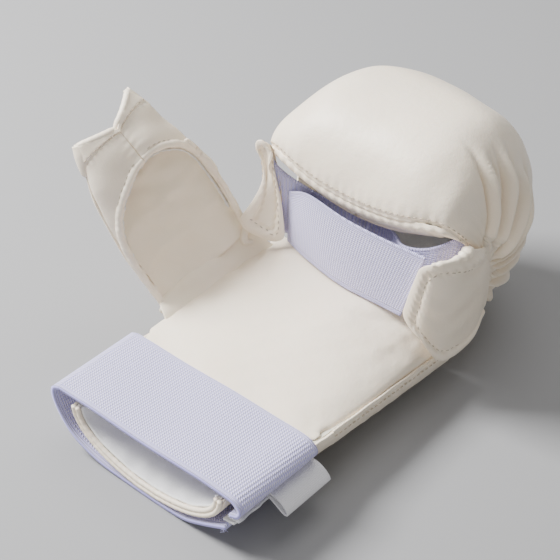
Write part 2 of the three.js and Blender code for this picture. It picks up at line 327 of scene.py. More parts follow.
def sheet_mesh(surface: Surface, grid: Grid) -> bmesh.types.BMesh:
    """Bends a flat grid to a surface and gives it a pattern map in metres.

    Args:
        surface: Where each share of the sheet goes, in millimetres.
        grid: The divisions and the real size of the sheet.

    Returns:
        The bent sheet.
    """
    mesh = bmesh.new()
    layer = mesh.loops.layers.uv.new("PatternMap")
    bmesh.ops.create_grid(mesh, x_segments=grid.columns, y_segments=grid.rows, size=0.5)
    shares = np.array([vert.co[:2] for vert in mesh.verts]) + 0.5
    for face in mesh.faces:
        for loop in face.loops:
            x, y = shares[loop.vert.index]
            loop[layer].uv = (x * grid.length * MM, y * grid.width * MM)
    places = surface(shares[:, 0], shares[:, 1]) * MM
    for vert, place in zip(mesh.verts, places):
        vert.co = place
    return mesh


def make_piece(name: str, mesh: bmesh.types.BMesh, finish: bpy.types.Material) -> bpy.types.Object:
    """Turns a mesh into a smooth-shaded object at the origin.

    Args:
        name: The piece's name.
        mesh: Its mesh, which is freed.
        finish: Its material.

    Returns:
        The new object.
    """
    data = bpy.data.meshes.new(name)
    mesh.to_mesh(data)
    mesh.free()
    for polygon in data.polygons:
        polygon.use_smooth = True
    data.materials.append(finish)
    piece = bpy.data.objects.new(name, data)
    bpy.context.scene.collection.objects.link(piece)
    LOG.info("%s: %d faces", name, len(data.polygons))
    return piece


@dataclass
class Cut:
    """One sheet of material: its shape, thickness and finish."""

    name: str
    surface: Surface
    grid: Grid
    thickness: float
    finish: bpy.types.Material
    inside: tuple[float, float, float] = (0.0, 0.0, 0.0)
    smooth: int = 0
    centred: bool = False

    def make(self) -> bpy.types.Object:
        """Builds the sheet with its thickness on the inner side.

        Returns:
            The finished piece.
        """
        mesh = sheet_mesh(self.surface, self.grid)
        bmesh.ops.remove_doubles(mesh, verts=mesh.verts[:], dist=2e-6)
        mesh.normal_update()
        centre = Vector(self.inside) * MM
        facing = sum(
            f.normal.dot(f.calc_center_median() - centre) * f.calc_area() for f in mesh.faces
        )
        if facing < 0:
            bmesh.ops.reverse_faces(mesh, faces=mesh.faces[:])
        piece = make_piece(self.name, mesh, self.finish)
        solid = piece.modifiers.new("Thickness", "SOLIDIFY")
        solid.thickness = self.thickness * MM
        solid.offset = 0.0 if self.centred else -1.0
        if self.smooth:
            round_off = piece.modifiers.new("Softness", "SUBSURF")
            round_off.levels = round_off.render_levels = self.smooth
        return piece


def tube_mesh(path: Path, radius: Callable[[Array], Array], steps: int, sides: int = 10,
              flat: float = 1.0, up: Vector = Vector((0, 0, 1))) -> bmesh.types.BMesh:
    """A closed cord along a path.

    Args:
        path: The line it follows.
        radius: Its radius in millimetres at each share of the length.
        steps: How many rings it has.
        sides: How many sides each ring has.
        flat: How tall its section is, as a share of its width.
        up: Roughly which way the section's height points.

    Returns:
        The closed tube.
    """
    guide = np.array(up, float)

    def skin(u: Array, v: Array) -> Array:
        """The tube's surface."""
        run = path.direction(v)
        side = np.cross(run, guide)
        side /= np.maximum(np.linalg.norm(side, axis=-1, keepdims=True), 1e-9)
        rise = np.cross(side, run)
        turn = u * 2 * math.pi
        size = radius(v)[..., None]
        ring = side * np.cos(turn)[..., None] + rise * np.sin(turn)[..., None] * flat
        return path.at(v) + ring * size

    mesh = sheet_mesh(skin, Grid(sides, steps, 2 * math.pi * 2, path.length))
    bmesh.ops.remove_doubles(mesh, verts=mesh.verts[:], dist=5e-6)
    bmesh.ops.holes_fill(mesh, edges=[e for e in mesh.edges if e.is_boundary], sides=0)
    bmesh.ops.recalc_face_normals(mesh, faces=mesh.faces[:])
    return mesh


@dataclass
class Seam:
    """A row of thread stitches that lies on a surface."""

    name: str
    line: Path
    finish: bpy.types.Material
    outward: Callable[[Array], Array]
    pitch: float = 3.1
    stitch: float = 2.2
    thread: float = 0.34
    sink: float = 0.05

    def make(self) -> bpy.types.Object:
        """Builds the row of stitches.

        Returns:
            The finished row.
        """
        count = max(int(self.line.length / self.pitch), 2)
        shares = (np.arange(count) + 0.5) / count
        places, runs, outs = self.line.at(shares), self.line.direction(shares), self.outward(shares)
        mesh = bmesh.new()
        for place, run, out in zip(places, runs, outs):
            out = out - run * (out @ run)
            out /= max(np.linalg.norm(out), 1e-9)
            side = np.cross(out, run)
            turn = Matrix(np.column_stack([run, side, out]).tolist()).to_4x4()
            size = Matrix.Diagonal((self.stitch / 2, self.thread, self.thread, 1.0))
            shift = Matrix.Translation(Vector(place - out * self.sink))
            bmesh.ops.create_uvsphere(
                mesh, u_segments=6, v_segments=4, radius=1.0,
                matrix=Matrix.Scale(MM, 4) @ shift @ turn @ size,
            )
        return make_piece(self.name, mesh, self.finish)


# Finishes ---------------------------------------------------------------------------------------


class NodeBench:
    """A material's node tree, with short calls to place and join nodes."""

    def __init__(self, name: str) -> None:
        """Starts a material with a Principled shader.

        Args:
            name: The material's name.
        """
        self.material = bpy.data.materials.new(name)
        self.material.use_nodes = True
        self.tree = self.material.node_tree
        self.shader = self.tree.nodes["Principled BSDF"]

    def node(self, kind: str, **settings: object) -> bpy.types.Node:
        """Adds a node and sets its attributes or its unlinked inputs.

        Args:
            kind: The node's type name, without the ShaderNode prefix.
            **settings: Attributes; a leading in_ names an input, with _ for a space.

        Returns:
            The node.
        """
        made = self.tree.nodes.new("ShaderNode" + kind)
        for key, value in settings.items():
            if key.startswith("in_"):
                made.inputs[key[3:].replace("_", " ")].default_value = value
            else:
                setattr(made, key, value)
        return made

    def join(self, source: bpy.types.NodeSocket, target: bpy.types.NodeSocket) -> None:
        """Links two sockets."""
        self.tree.links.new(source, target)

    def place(self) -> bpy.types.NodeSocket:
        """The object coordinates."""
        return self.node("TexCoord").outputs["Object"]

    def math(self, kind: str, a: object, b: object = 0.0) -> bpy.types.NodeSocket:
        """A math node of two sockets or numbers.

        Args:
            kind: The operation's name.
            a: The first value, a socket or a number.
            b: The second value, a socket or a number.

        Returns:
            The result's socket.
        """
        made = self.node("Math", operation=kind)
        for slot, value in enumerate((a, b)):
            if isinstance(value, bpy.types.NodeSocket):
                self.join(value, made.inputs[slot])
            else:
                made.inputs[slot].default_value = float(value)
        return made.outputs[0]

    def noise(self, scale: float, detail: float = 3.0, at: object = None) -> bpy.types.NodeSocket:
        """A noise value.

        Args:
            scale: How fine the noise is.
            detail: How many finer layers it has.
            at: The vector to read it over, or nothing for the object coordinates.

        Returns:
            The value's socket.
        """
        made = self.node("TexNoise", in_Scale=scale, in_Detail=detail, in_Roughness=0.55)
        self.join(at or self.place(), made.inputs["Vector"])
        return made.outputs["Fac"]

    def ramp(self, value: bpy.types.NodeSocket, stops: Sequence[tuple[float, Sequence[float]]]
             ) -> bpy.types.NodeSocket:
        """A colour ramp over a value.

        Args:
            value: The value to colour.
            stops: Each stop's place and linear colour.

        Returns:
            The colour's socket.
        """
        made = self.node("ValToRGB")
        elements = made.color_ramp.elements
        while len(elements) < len(stops):
            elements.new(0.5)
        for element, (position, colour) in zip(elements, stops):
            element.position = position
            element.color = (*colour, 1.0)
        self.join(value, made.inputs[0])
        return made.outputs[0]

    def relief(self, height: bpy.types.NodeSocket, depth: float, under: object = None
               ) -> bpy.types.NodeSocket:
        """A bump.

        Args:
            height: The bump's height, from 0 to 1.
            depth: What a height of 1 is in metres.
            under: The normal of a bump that this one lies over, or nothing.

        Returns:
            The bumped normal's socket.
        """
        made = self.node("Bump", in_Strength=1.0, in_Distance=depth)
        self.join(height, made.inputs["Height"])
        if under is not None:
            self.join(under, made.inputs["Normal"])
        return made.outputs["Normal"]


@dataclass(frozen=True)
class LeatherFinish:
    """Smooth coated leather: faint pores, soft mottling and a low sheen."""

    name: str
    light: tuple[float, float, float]
    dark: tuple[float, float, float]
    roughness: float = 0.46
    pore_scale: float = 1500.0
    pore_depth: float = 0.00006
    crease_depth: float = 0.00025

    def make(self) -> bpy.types.Material:
        """Builds the material.

        Returns:
            The leather material.
        """
        bench = NodeBench(self.name)
        shader = bench.shader
        mottle = bench.noise(38.0, 4.0)
        bench.join(bench.ramp(mottle, [(0.3, self.dark), (0.68, self.light)]),
                   shader.inputs["Base Color"])
        pores = bench.noise(self.pore_scale, 2.0)
        creases = bench.noise(240.0, 5.0)
        fine = bench.relief(pores, self.pore_depth)
        bench.join(bench.relief(creases, self.crease_depth, fine), shader.inputs["Normal"])
        rough = bench.math("MULTIPLY_ADD", creases, 0.16)
        rough.node.inputs[2].default_value = self.roughness - 0.08
        bench.join(rough, shader.inputs["Roughness"])
        shader.inputs["Sheen Weight"].default_value = 0.05
        shader.inputs["Sheen Roughness"].default_value = 0.5
        shader.inputs["Coat Weight"].default_value = 0.06
        shader.inputs["Coat Roughness"].default_value = 0.35
        shader.inputs["Subsurface Weight"].default_value = 0.06
        shader.inputs["Subsurface Radius"].default_value = (0.004, 0.0025, 0.0015)
        return bench.material


@dataclass(frozen=True)
class ElasticFinish:
    """Woven elastic: staggered cells in the middle and a plain selvedge at both edges, with painted shade in
    the weave's low spots.
    """

    name: str
    width: float
    yarn: tuple[float, float, float] = (0.84, 0.815, 1.0)
    # valley: the yarn's lavender, painted darker as shade in the weave's low spots
    valley: tuple[float, float, float] = (0.45, 0.42, 0.90)
    cell_length: float = 1.25
    cell_width: float = 0.95
    selvedge: float = 2.2
    depth: float = 0.00045

    def make(self) -> bpy.types.Material:
        """Builds the material over the strap's own pattern map.

        Returns:
            The elastic's material.
        """
        bench = NodeBench(self.name)
        shader = bench.shader
        pattern = bench.node("UVMap", uv_map="PatternMap").outputs["UV"]
        parts = bench.node("SeparateXYZ")
        bench.join(pattern, parts.inputs[0])
        along, across = parts.outputs[0], parts.outputs[1]
        row = bench.math("DIVIDE", across, self.cell_width * MM)
        half_step = bench.math("MULTIPLY", bench.math("FLOOR", row), 0.5)
        column = bench.math("ADD", bench.math("DIVIDE", along, self.cell_length * MM), half_step)
        slant = bench.math("ADD", column, bench.math("MULTIPLY", row, 0.45))
        cell_x = bench.math("PINGPONG", slant, 0.5)
        cell_y = bench.math("PINGPONG", row, 0.5)
        knot = bench.math("MULTIPLY", bench.math("POWER", bench.math("MULTIPLY", cell_x, 2.0), 0.6),
                          bench.math("POWER", bench.math("MULTIPLY", cell_y, 2.0), 0.6))
        middle = bench.math("ABSOLUTE", bench.math("SUBTRACT", across, self.width * MM / 2))
        edge = bench.math("GREATER_THAN", middle, (self.width / 2 - self.selvedge) * MM)
        plain = bench.math("MULTIPLY", bench.math("PINGPONG", bench.math(
            "DIVIDE", across, 0.9 * MM), 0.5), 1.4)
        weave = bench.node("Mix")
        bench.join(edge, weave.inputs["Factor"])
        bench.join(knot, weave.inputs["A"])
        bench.join(plain, weave.inputs["B"])
        height = weave.outputs["Result"]
        fuzz = bench.noise(2600.0, 2.0)
        # The weave's height picks the colour, so its low spots get painted shade; the fuzz adds random tone.
        tone = bench.math("ADD", bench.math("MULTIPLY", height, 0.75),
                          bench.math("MULTIPLY", fuzz, 0.3))
        bench.join(bench.ramp(tone, [(0.12, self.valley), (0.72, self.yarn)]),
                   shader.inputs["Base Color"])
        under = bench.relief(fuzz, 0.00005)
        bench.join(bench.relief(height, self.depth, under), shader.inputs["Normal"])
        shader.inputs["Roughness"].default_value = 0.82
        shader.inputs["Sheen Weight"].default_value = 0.25
        shader.inputs["Sheen Roughness"].default_value = 0.45
        return bench.material


@dataclass(frozen=True)
class ClothFinish:
    """Plain cloth, tape, thread or foam: a base colour with fibres or cells in it."""

    name: str
    light: tuple[float, float, float]
    dark: tuple[float, float, float]
    grain_scale: float = 1800.0
    grain_depth: float = 0.00012
    roughness: float = 0.85
    sheen: float = 0.2
    rib: float = 0.0

    def make(self) -> bpy.types.Material:
        """Builds the material.

        Returns:
            The cloth's material.
        """
        bench = NodeBench(self.name)
        shader = bench.shader
        grain = bench.noise(self.grain_scale, 3.0)
        normal = bench.relief(grain, self.grain_depth)
        if self.rib:
            parts = bench.node("SeparateXYZ")
            bench.join(bench.node("UVMap", uv_map="PatternMap").outputs["UV"], parts.inputs[0])
            rib = bench.math("PINGPONG", bench.math("DIVIDE", parts.outputs[0], self.rib * MM), 0.5)
            normal = bench.relief(rib, 0.0002, normal)
        bench.join(bench.ramp(grain, [(0.3, self.dark), (0.65, self.light)]),
                   shader.inputs["Base Color"])
        bench.join(normal, shader.inputs["Normal"])
        shader.inputs["Roughness"].default_value = self.roughness
        shader.inputs["Sheen Weight"].default_value = self.sheen
        return bench.material


@dataclass
class Wardrobe:
    """Every finish of the mitt, made once."""

    leather: bpy.types.Material = field(init=False)
    inner: bpy.types.Material = field(init=False)
    wrist: bpy.types.Material = field(init=False)
    finger: bpy.types.Material = field(init=False)
    lining: bpy.types.Material = field(init=False)
    backing: bpy.types.Material = field(init=False)
    foam: bpy.types.Material = field(init=False)
    tape: bpy.types.Material = field(init=False)
    hook: bpy.types.Material = field(init=False)
    thread: bpy.types.Material = field(init=False)

    def __post_init__(self) -> None:
        """Makes the materials."""
        self.leather = LeatherFinish("cream_leather", (0.965, 0.855, 0.70), (0.945, 0.825, 0.66)).make()
        self.inner = LeatherFinish("inner_leather", (0.97, 0.86, 0.68), (0.95, 0.825, 0.63),
                                   roughness=0.5).make()
        self.wrist = ElasticFinish("wrist_elastic", 49.0, cell_length=1.55, cell_width=1.15,
                                   depth=0.0006).make()
        self.finger = ElasticFinish("finger_elastic", 37.0, cell_length=1.55, cell_width=1.1,
                                    depth=0.0006).make()
        self.lining = ClothFinish("white_lining", (0.95, 0.945, 0.93), (0.88, 0.88, 0.87)).make()
        self.backing = ClothFinish("raw_backing", (0.88, 0.86, 0.82), (0.78, 0.75, 0.70),
                                   grain_scale=1300.0, grain_depth=0.0003).make()
        self.foam = ClothFinish("padding", (0.78, 0.74, 0.62), (0.70, 0.66, 0.54)).make()
        self.tape = ClothFinish("satin_tape", (0.84, 0.83, 0.85), (0.78, 0.77, 0.80),
                                roughness=0.55, rib=0.8).make()
        self.hook = ClothFinish("hook_tape", (0.86, 0.86, 0.88), (0.70, 0.70, 0.74),
                                grain_scale=1500.0, grain_depth=0.0005).make()
        # Thread colour: the thread's own tone, darkened further as painted shade of the stitch holes so the
        # stitches read as dark dashes.
        self.thread = ClothFinish("thread", (0.60, 0.51, 0.39), (0.48, 0.40, 0.30)).make()


def dress(piece: bpy.types.Object, slot: Slot, body: Body, *nodes: str) -> bpy.types.Object:
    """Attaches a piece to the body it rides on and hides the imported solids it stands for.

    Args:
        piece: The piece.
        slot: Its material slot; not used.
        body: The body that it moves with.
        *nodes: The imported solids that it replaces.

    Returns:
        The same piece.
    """
    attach(piece, body.value)
    if nodes:
        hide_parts(*nodes)
    return piece


# Fist pad ---------------------------------------------------------------------------------------


@dataclass(frozen=True)
class Pleat:
    """One gathered fold, as its crest's (y, z) places from its root to where it fades."""

    crest: tuple[tuple[float, float], ...]
    height: float
    width: float

    def height_at(self, places: Array) -> Array:
        """How far the fold lifts the skin.

        Args:
            places: The (y, z) places of the skin, in millimetres.

        Returns:
            The lift at each place, negative in the valley beside the crest.
        """
        line = Path([(0, y, z) for y, z in self.crest], 60)
        knots, shares = line.line[:, 1:], line.distance / line.length
        lift = np.zeros(len(places))
        low, high = knots.min(axis=0) - 16, knots.max(axis=0) + 16
        near = np.where(((places > low) & (places < high)).all(axis=1))[0]
        if not len(near):
            return lift
        gaps = places[near][:, None] - knots[None]
        nearest = np.argmin((gaps**2).sum(axis=-1), axis=1)
        gap = gaps[np.arange(len(near)), nearest]
        run = np.gradient(knots, axis=0)[nearest]
        run /= np.linalg.norm(run, axis=1, keepdims=True)
        off = run[:, 0] * gap[:, 1] - run[:, 1] * gap[:, 0]
        past = np.abs((run * gap).sum(axis=1))
        share = shares[nearest]
        width = self.width * (0.42 + 1.0 * share)
        tall = self.height * 2.0 * ease(-0.12, 0.2, share) * (1 - ease(0.6, 1.0, share))
        crest = np.exp(-((np.abs(off) / width) ** 2.0))
        valley = np.exp(-(((off - width * 1.45) / (width * 0.45)) ** 2))
        valley += 0.6 * np.exp(-(((off + width * 1.5) / (width * 0.6)) ** 2))
        lift[near] = tall * (crest - 1.05 * valley) * np.exp(-((past / 4.0) ** 2))
        return lift


PLEATS = (
    Pleat(((33.0, 72.0), (38.4, 82.0), (40.5, 92.8), (41.3, 102.2), (42.2, 111.0), (45, 119.0)), 2.2, 2.7),
    Pleat(((36.5, 68.5), (45.7, 74.5), (51.7, 85.3), (55.2, 95.3), (56.8, 106.0), (59, 115.0)), 2.5, 2.7),
    Pleat(((40.0, 62.5), (56.1, 64.8), (65.7, 72.9), (69.7, 81.3), (69.5, 91.0), (67, 101.0)), 2.4, 2.6),
    Pleat(((42.0, 59.5), (61.4, 60.6), (74.9, 65.4), (81.5, 73.1), (84.0, 82.0)), 1.9, 2.2),
    Pleat(((42.0, 56.0), (57.5, 55.0), (72.0, 55.5), (84.0, 59.0)), 1.7, 2.0),
    Pleat(((42.0, 51.5), (56.0, 48.5), (70.0, 46.5), (82.0, 47.0)), 1.6, 2.0),
    Pleat(((42.0, 46.5), (53.0, 41.0), (65.0, 36.5), (76.0, 34.5)), 1.6, 2.2),
    Pleat(((39.5, 42.0), (48.0, 33.0), (58.0, 26.0), (68.0, 21.0)), 1.4, 2.3),
    Pleat(((36.0, 38.5), (41.0, 28.0), (47.0, 19.0), (54.0, 12.0)), 1.2, 2.4),
)


@dataclass
class FistPad:
    """The domed knuckle pad: one continuous skin, a rolled hem and a white lining."""

    finishes: Wardrobe
    half_width: float = 57.5
    centre_y: float = 38.0
    centre_z: float = 62.0
    roundness: float = 2.45
    hem_roundness: float = 5.5
    hem_lift: float = 16.5
    hem_skew: float = 0.5
    hem_start: float = 0.955
    hem_reach: float = 0.965
    hem_depth: float = 6.2
    cap_rise: float = 3.4
    flank_dip: float = 1.6
    shoulder_dip: float = 3.3
    thumb_side_dip: float = 1.3
    thumb_side_dents: float = 1.1
    stitch_groove: float = 0.75
    pucker_pitch: float = 5.4
    skin_thickness: float = 1.3
    lining_thickness: float = 0.8
    hem_thickness: float = 0.7
    profile: Path = field(
        default_factory=lambda: Path(
            [(0, 20.8, 0), (0, 46, 3), (0, 74, 11), (0, 97, 28), (0, 109, 54), (0, 108, 84),
             (0, 92, 108), (0, 66, 121.5), (0, 38, 121), (0, 17, 110), (0, 6.5, 95), (0, 6, 84),
             (0, 12, 76)],
            900,
        )
    )

    def place(self, s: Array, t: Array, inset: object = 0.0) -> Array:
        """Where a width share and a profile share lie on the pad.

        Args:
            s: The width share, from -1 to 1.
            t: The profile share, from the palm root over the knuckles to the hem.
            inset: How far inside the skin, in millimetres.

        Returns:
            The places, in rows of three.
        """
        spot, run = self.profile.at(t), self.profile.direction(t)
        y = spot[..., 1] - inset * run[..., 2]
        z = spot[..., 2] + inset * run[..., 1]
        power = self.roundness + (self.hem_roundness - self.roundness) * t**4
        scale = np.maximum(1 - np.abs(s) ** power, 1e-9) ** (1 / power)
        lift = (self.hem_lift * s * s - self.hem_skew * s) * t**4 * scale
        return np.stack(
            [
                (self.half_width - inset) * s,
                self.centre_y + scale * (y - self.centre_y),
                self.centre_z + scale * (z - self.centre_z) + lift,
            ],
            axis=-1,
        )

    def foam_depth(self, t: Array) -> Array:
        """How deep the foam's inner face lies."""
        return 1.95 + 12.0 + (4.2 - 12.0) * t**3

    def outer(self, end: float) -> Surface:
        """The outer face from the palm root to a profile share.

        Args:
            end: The last profile share.

        Returns:
            The surface over 0 to 1 both ways.
        """

        def point(u: Array, v: Array) -> Array:
            """The places on the outer face."""
            return self.place(np.sin((u - 0.5) * math.pi), end * v)

        return point

    def pleats(self, points: Array) -> Array:
        """The gathered folds that fan out from behind the outer side tab.

        Args:
            points: Places on the dome, in millimetres.

        Returns:
            How far each place is pushed out, in millimetres.
        """
        side = ease(14, 36, points[:, 0])
        total = np.zeros(len(points))
        for fold in PLEATS:
            total += fold.height_at(points[:, 1:])
        reach = np.hypot(points[:, 1] - 36, points[:, 2] - 62)
        angle = np.arctan2(points[:, 2] - 62, points[:, 1] - 36) - reach * 0.009
        fine = 0.17 * np.sin(angle * 34) * ease(6, 13, reach) * (1 - ease(22, 46, reach))
        return (total + fine) * side

    def relief(self, points: Array, t: Array, s: Array) -> Array:
        """All the unevenness of the skin.

        Args:
            points: Places on the dome, in millimetres.
            t: Their profile shares.
            s: Their width shares.

        Returns:
            How far each place is pushed out, in millimetres.
        """
        swell = 0.3 * wander(points, 46, 3) + 0.14 * wander(points, 19, 4)
        swell = swell + self.cap_rise * bump(0.835, 0.075, t) * (1 - s * s) ** 1.2
        swell = swell - self.flank_dip * bump(0.76, 0.15, np.abs(s)) * ease(0.55, 0.75, t)
        swell = swell - self.shoulder_dip * bump(0.555, 0.09, t) * bump(0.3, 0.38, s)
        swell = swell - self.thumb_side_dip * bump(0.80, 0.2, t) * bump(-0.92, 0.2, s)
        pucker_room = bump(self.hem_start, 0.022, t)
        across = points[:, 0] * 2 * math.pi / self.pucker_pitch
        pucker = 0.20 * np.sin(across + 1.5 * np.sin(points[:, 0] / 9))
        left = ease(-25, -50, points[:, 0]) * ease(40, 70, points[:, 2])
        dents = self.thumb_side_dents * np.sin(points[:, 2] / 7.5 + points[:, 1] / 13) * left
        keep = ease(0.0, 0.05, t)
        groove = -self.stitch_groove * np.exp(-(((t - self.hem_start + 0.002) / 0.0045) ** 2))
        return (swell + dents) * keep + pucker * pucker_room * 0.85 + groove - 0.25

    def skin(self) -> None:
        """Builds the dome's single skin with its pleats."""
        end = self.hem_start + 0.002
        base = self.outer(end)

        def height(u: Array, v: Array) -> Array:
            """The skin's relief."""
            points = base(u, v)
            t = end * v
            s = np.sin((u - 0.5) * math.pi)
            calm = 1 - ease(0.9993, 1.0, np.abs(s))
            return (self.relief(points, t, s) + self.pleats(points)) * calm - 0.05

        outward = self.sign_of(base)
        surface = lifted(base, height, outward)
        piece = Cut("fist_skin", surface, Grid(250, 350, 180, 300), self.skin_thickness,
                    self.finishes.leather, (0, 45, 60)).make()
        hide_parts("fist_shell", "fist_foam")
        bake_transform(piece)
        u = np.linspace(0.06, 0.955, 140)
        v = np.full_like(u, (self.hem_start - 0.010) / end)
        norms = normals_of(surface, u, v) * outward
        line = Path(surface(u, v) + norms * 0.05)
        row = Seam("fist_hem_stitches", line, self.finishes.thread, read_along(norms))
        stitches = row.make()
        dress(stitches, Slot.LEATHER, Body.FIST)

    def sign_of(self, surface: Surface) -> float:
        """Which way along the surface's normals is out of the dome."""
        u, v = np.array([0.5]), np.array([0.5])
        out = surface(u, v) - np.array([[0, self.centre_y, self.centre_z]])
        return 1.0 if float((normals_of(surface, u, v) * out).sum()) > 0 else -1.0

    def lining(self) -> None:
        """Builds the white cloth inside the dome."""
        end = self.hem_start - 0.014

        def point(u: Array, v: Array) -> Array:
            """The lining's outer face."""
            t = 0.004 + (end - 0.004) * v
            s = np.sin((u - 0.5) * math.pi)
            wave = 0.35 * wander(self.place(s, t, 15.0), 17, 8)
            return self.place(s, t, self.foam_depth(t) + 1.35 + wave * ease(0, 0.1, 1 - np.abs(s)))

        piece = Cut("fist_lining_cloth", point, Grid(90, 130, 160, 260), self.lining_thickness,
                    self.finishes.lining, (0, 45, 60)).make()
        dress(piece, Slot.WHITE_LINING, Body.FIST, "fist_lining")

    def hem(self) -> None:
        """Builds the rolled hem: an outer band, a round edge and a return inside."""
        def point(u: Array, v: Array) -> Array:
            """The band, from the stitch groove round the edge to the inner side."""
            s = self.hem_reach * np.sin((u - 0.5) * math.pi)
            x = s * self.half_width
            wobble = 0.25 * np.sin(x / 3.1 + 2 * np.sin(x / 11)) + 0.3 * np.sin(x / 13)
            out = np.clip(v / 0.46, 0, 1)
            turn = np.clip((v - 0.46) / 0.2, 0, 1) * math.pi
            back = np.clip((v - 0.66) / 0.34, 0, 1)
            end = 0.9965 + wobble * 0.0004
            t = self.hem_start + 0.0015 + (end - self.hem_start) * (out - 0.9 * back)
            roll = self.hem_depth / 2 * (1 - np.cos(turn))
            t = t + 0.0068 * np.sin(turn)
            puff = 0.75 * np.sin(math.pi * np.clip(v / 0.5, 0, 1)) ** 0.7
            groove = 0.9 * np.exp(-((v / 0.05) ** 2))
            pucker = 0.22 * np.sin(x * 2 * math.pi / self.pucker_pitch) * bump(0.08, 0.12, v)
            return self.place(s, np.minimum(t, 1.02), roll + 0.55 - puff + groove - pucker)

        piece = Cut("fist_hem_band", point, Grid(210, 44, 160, 30), self.hem_thickness,
                    self.finishes.leather, (0, 10, 84)).make()
        dress(piece, Slot.LEATHER, Body.FIST, "fist_hem")

    def build(self) -> None:
        """Builds the whole pad."""
        self.skin()
        self.lining()
        self.hem()


# Hand pad ---------------------------------------------------------------------------------------


@dataclass
class HandPad:
    """The padded back of the hand: an under-skin and a stuffed cushion over it."""

    finishes: Wardrobe
    half: float = 54.0
    wrist_y: float = -79.0
    knuckle_y: float = 20.0
    cushion_wrist_y: float = -91.0
    cushion_front_y: float = 17.0
    skin_thickness: float = 1.2
    wall_thickness: float = 0.4
    wall_y: float = 20.28
    voxel: float = 3.2
    pressure: float = 4.0
    last_frame: int = 20
    most_swell: float = 2.0

    def seam_z(self, y: Array) -> Array:
        """The height of the seam between the under-skin and the cushion."""
        return 28.5 - 0.07 * (y + 79)

    def crown_z(self, y: Array) -> Array:
        """The height of the cushion's middle."""
        return 31.4 + 0.115 * (y + 81)

    def under(self, u: Array, v: Array) -> Array:
        """The under-skin's outer face.

        Args:
            u: Shares of the width, from the thumb side.
            v: Shares of the length, from the wrist.

        Returns:
            The places on the face.
        """
        y = self.wrist_y + (self.knuckle_y - self.wrist_y) * v
        power = 2.1 + 1.0 * v
        angle = (u - 0.5) * math.pi
        share = 2 / power
        x = self.half * np.sign(angle) * np.abs(np.sin(angle)) ** share
        rise = self.seam_z(y) * (1 - np.abs(np.cos(angle)) ** share)
        return np.stack([x, y, np.where(rise < 0.35, 0.0, rise)], axis=-1)

    def cushion(self, u: Array, v: Array) -> Array:
        """The cushion's upper face.

        Args:
            u: Shares of the width, from the thumb side.
            v: Shares of the length, from the wrist.

        Returns:
            The places on the face.
        """
        y = self.cushion_wrist_y + (self.cushion_front_y - self.cushion_wrist_y) * v
        wrist = np.clip((-69 - y) / 22, 0, 1)
        half = self.half * (1 - 0.2 * wrist**2)
        x = half * np.sin((u - 0.5) * math.pi)
        bottom = self.seam_z(y) + 0.35
        left = ease(0, -20, x) * (1 - wrist)
        power = 4.6 + 4.5 * left
        shoulder = np.maximum(1 - np.abs(x / half) ** power, 0) ** (0.62 - 0.28 * left)
        x = x * (1 + 0.05 * left)
        rise = (self.crown_z(y) - bottom) * shoulder * (1 - 0.5 * wrist**4)
        return np.stack([x, y, bottom + rise], axis=-1)

    def under_skin(self) -> None:
        """Builds the under-skin, calm in the middle and lightly rippled up its sides."""

        def height(u: Array, v: Array) -> Array:
            """Ripples on the sides only, so the resting face stays flat."""
            points = self.under(u, v)
            side = ease(7, 16, points[:, 2]) * ease(0, 0.06, 1 - v)
            return -np.abs(0.35 * wander(points, 21, 11) + 0.15 * wander(points, 8, 12)) * side

        middle = np.array([0.5])
        outward = -1.0 if normals_of(self.under, middle, middle)[0, 2] > 0 else 1.0
        piece = Cut("hand_back_skin", lifted(self.under, height, outward), Grid(150, 130, 150, 100),
                    self.skin_thickness, self.finishes.leather, (0, -30, 25)).make()
        dress(piece, Slot.LEATHER, Body.HAND, "hand_back_shell")

    def end_wall(self) -> None:
        """Builds the skin that closes the pad's knuckle end, from the under-skin's rim to the seam."""

        def wall(u: Array, v: Array) -> Array:
            """The places on the wall."""
            low = self.under(u, np.ones_like(u))
            high = self.seam_z(np.full_like(u, self.wall_y)) - 0.2
            z = low[:, 2] + 0.2 + (high - low[:, 2] - 0.2) * v
            return np.stack([low[:, 0] * 0.992, self.wall_y + 0.1 * wander(low, 14, 15), z], axis=-1)

        piece = Cut("hand_end_skin", wall, Grid(120, 24, 108, 22), self.wall_thickness,
                    self.finishes.leather, (0, -30, 15), centred=True).make()
        dress(piece, Slot.LEATHER, Body.HAND)

    def puffed(self) -> bpy.types.Object:
        """Builds the cushion's cover, a little small so that it can swell.

        Returns:
            The cover as one closed shape.
        """

        def shell(u: Array, v: Array) -> Array:
            """The cushion's upper face, drawn in a little."""
            points = self.cushion(u, v)
            middle = np.array([0, -37.0, 0])
            points[:, :2] = middle[:2] + (points[:, :2] - middle[:2]) * 0.982
            points[:, 2] -= 1.1 * ease(0.0, 2.5, points[:, 2] - self.seam_z(points[:, 1]))
            return points

        mesh = sheet_mesh(shell, Grid(60, 66, 110, 108))
        rim = [edge for edge in mesh.edges if edge.is_boundary]
        dropped = bmesh.ops.extrude_edge_only(mesh, edges=rim)["geom"]
        low = [item for item in dropped if isinstance(item, bmesh.types.BMVert)]
        for vert in low:
            vert.co.x *= 0.985
            vert.co.z = (self.seam_z(vert.co.y / MM) - 2.2) * MM
        floor = [edge for edge in mesh.edges if edge.is_boundary]
        bmesh.ops.holes_fill(mesh, edges=floor, sides=0)
        bmesh.ops.recalc_face_normals(mesh, faces=mesh.faces[:])
        return make_piece("hand_cushion_cover", mesh, self.finishes.leather)

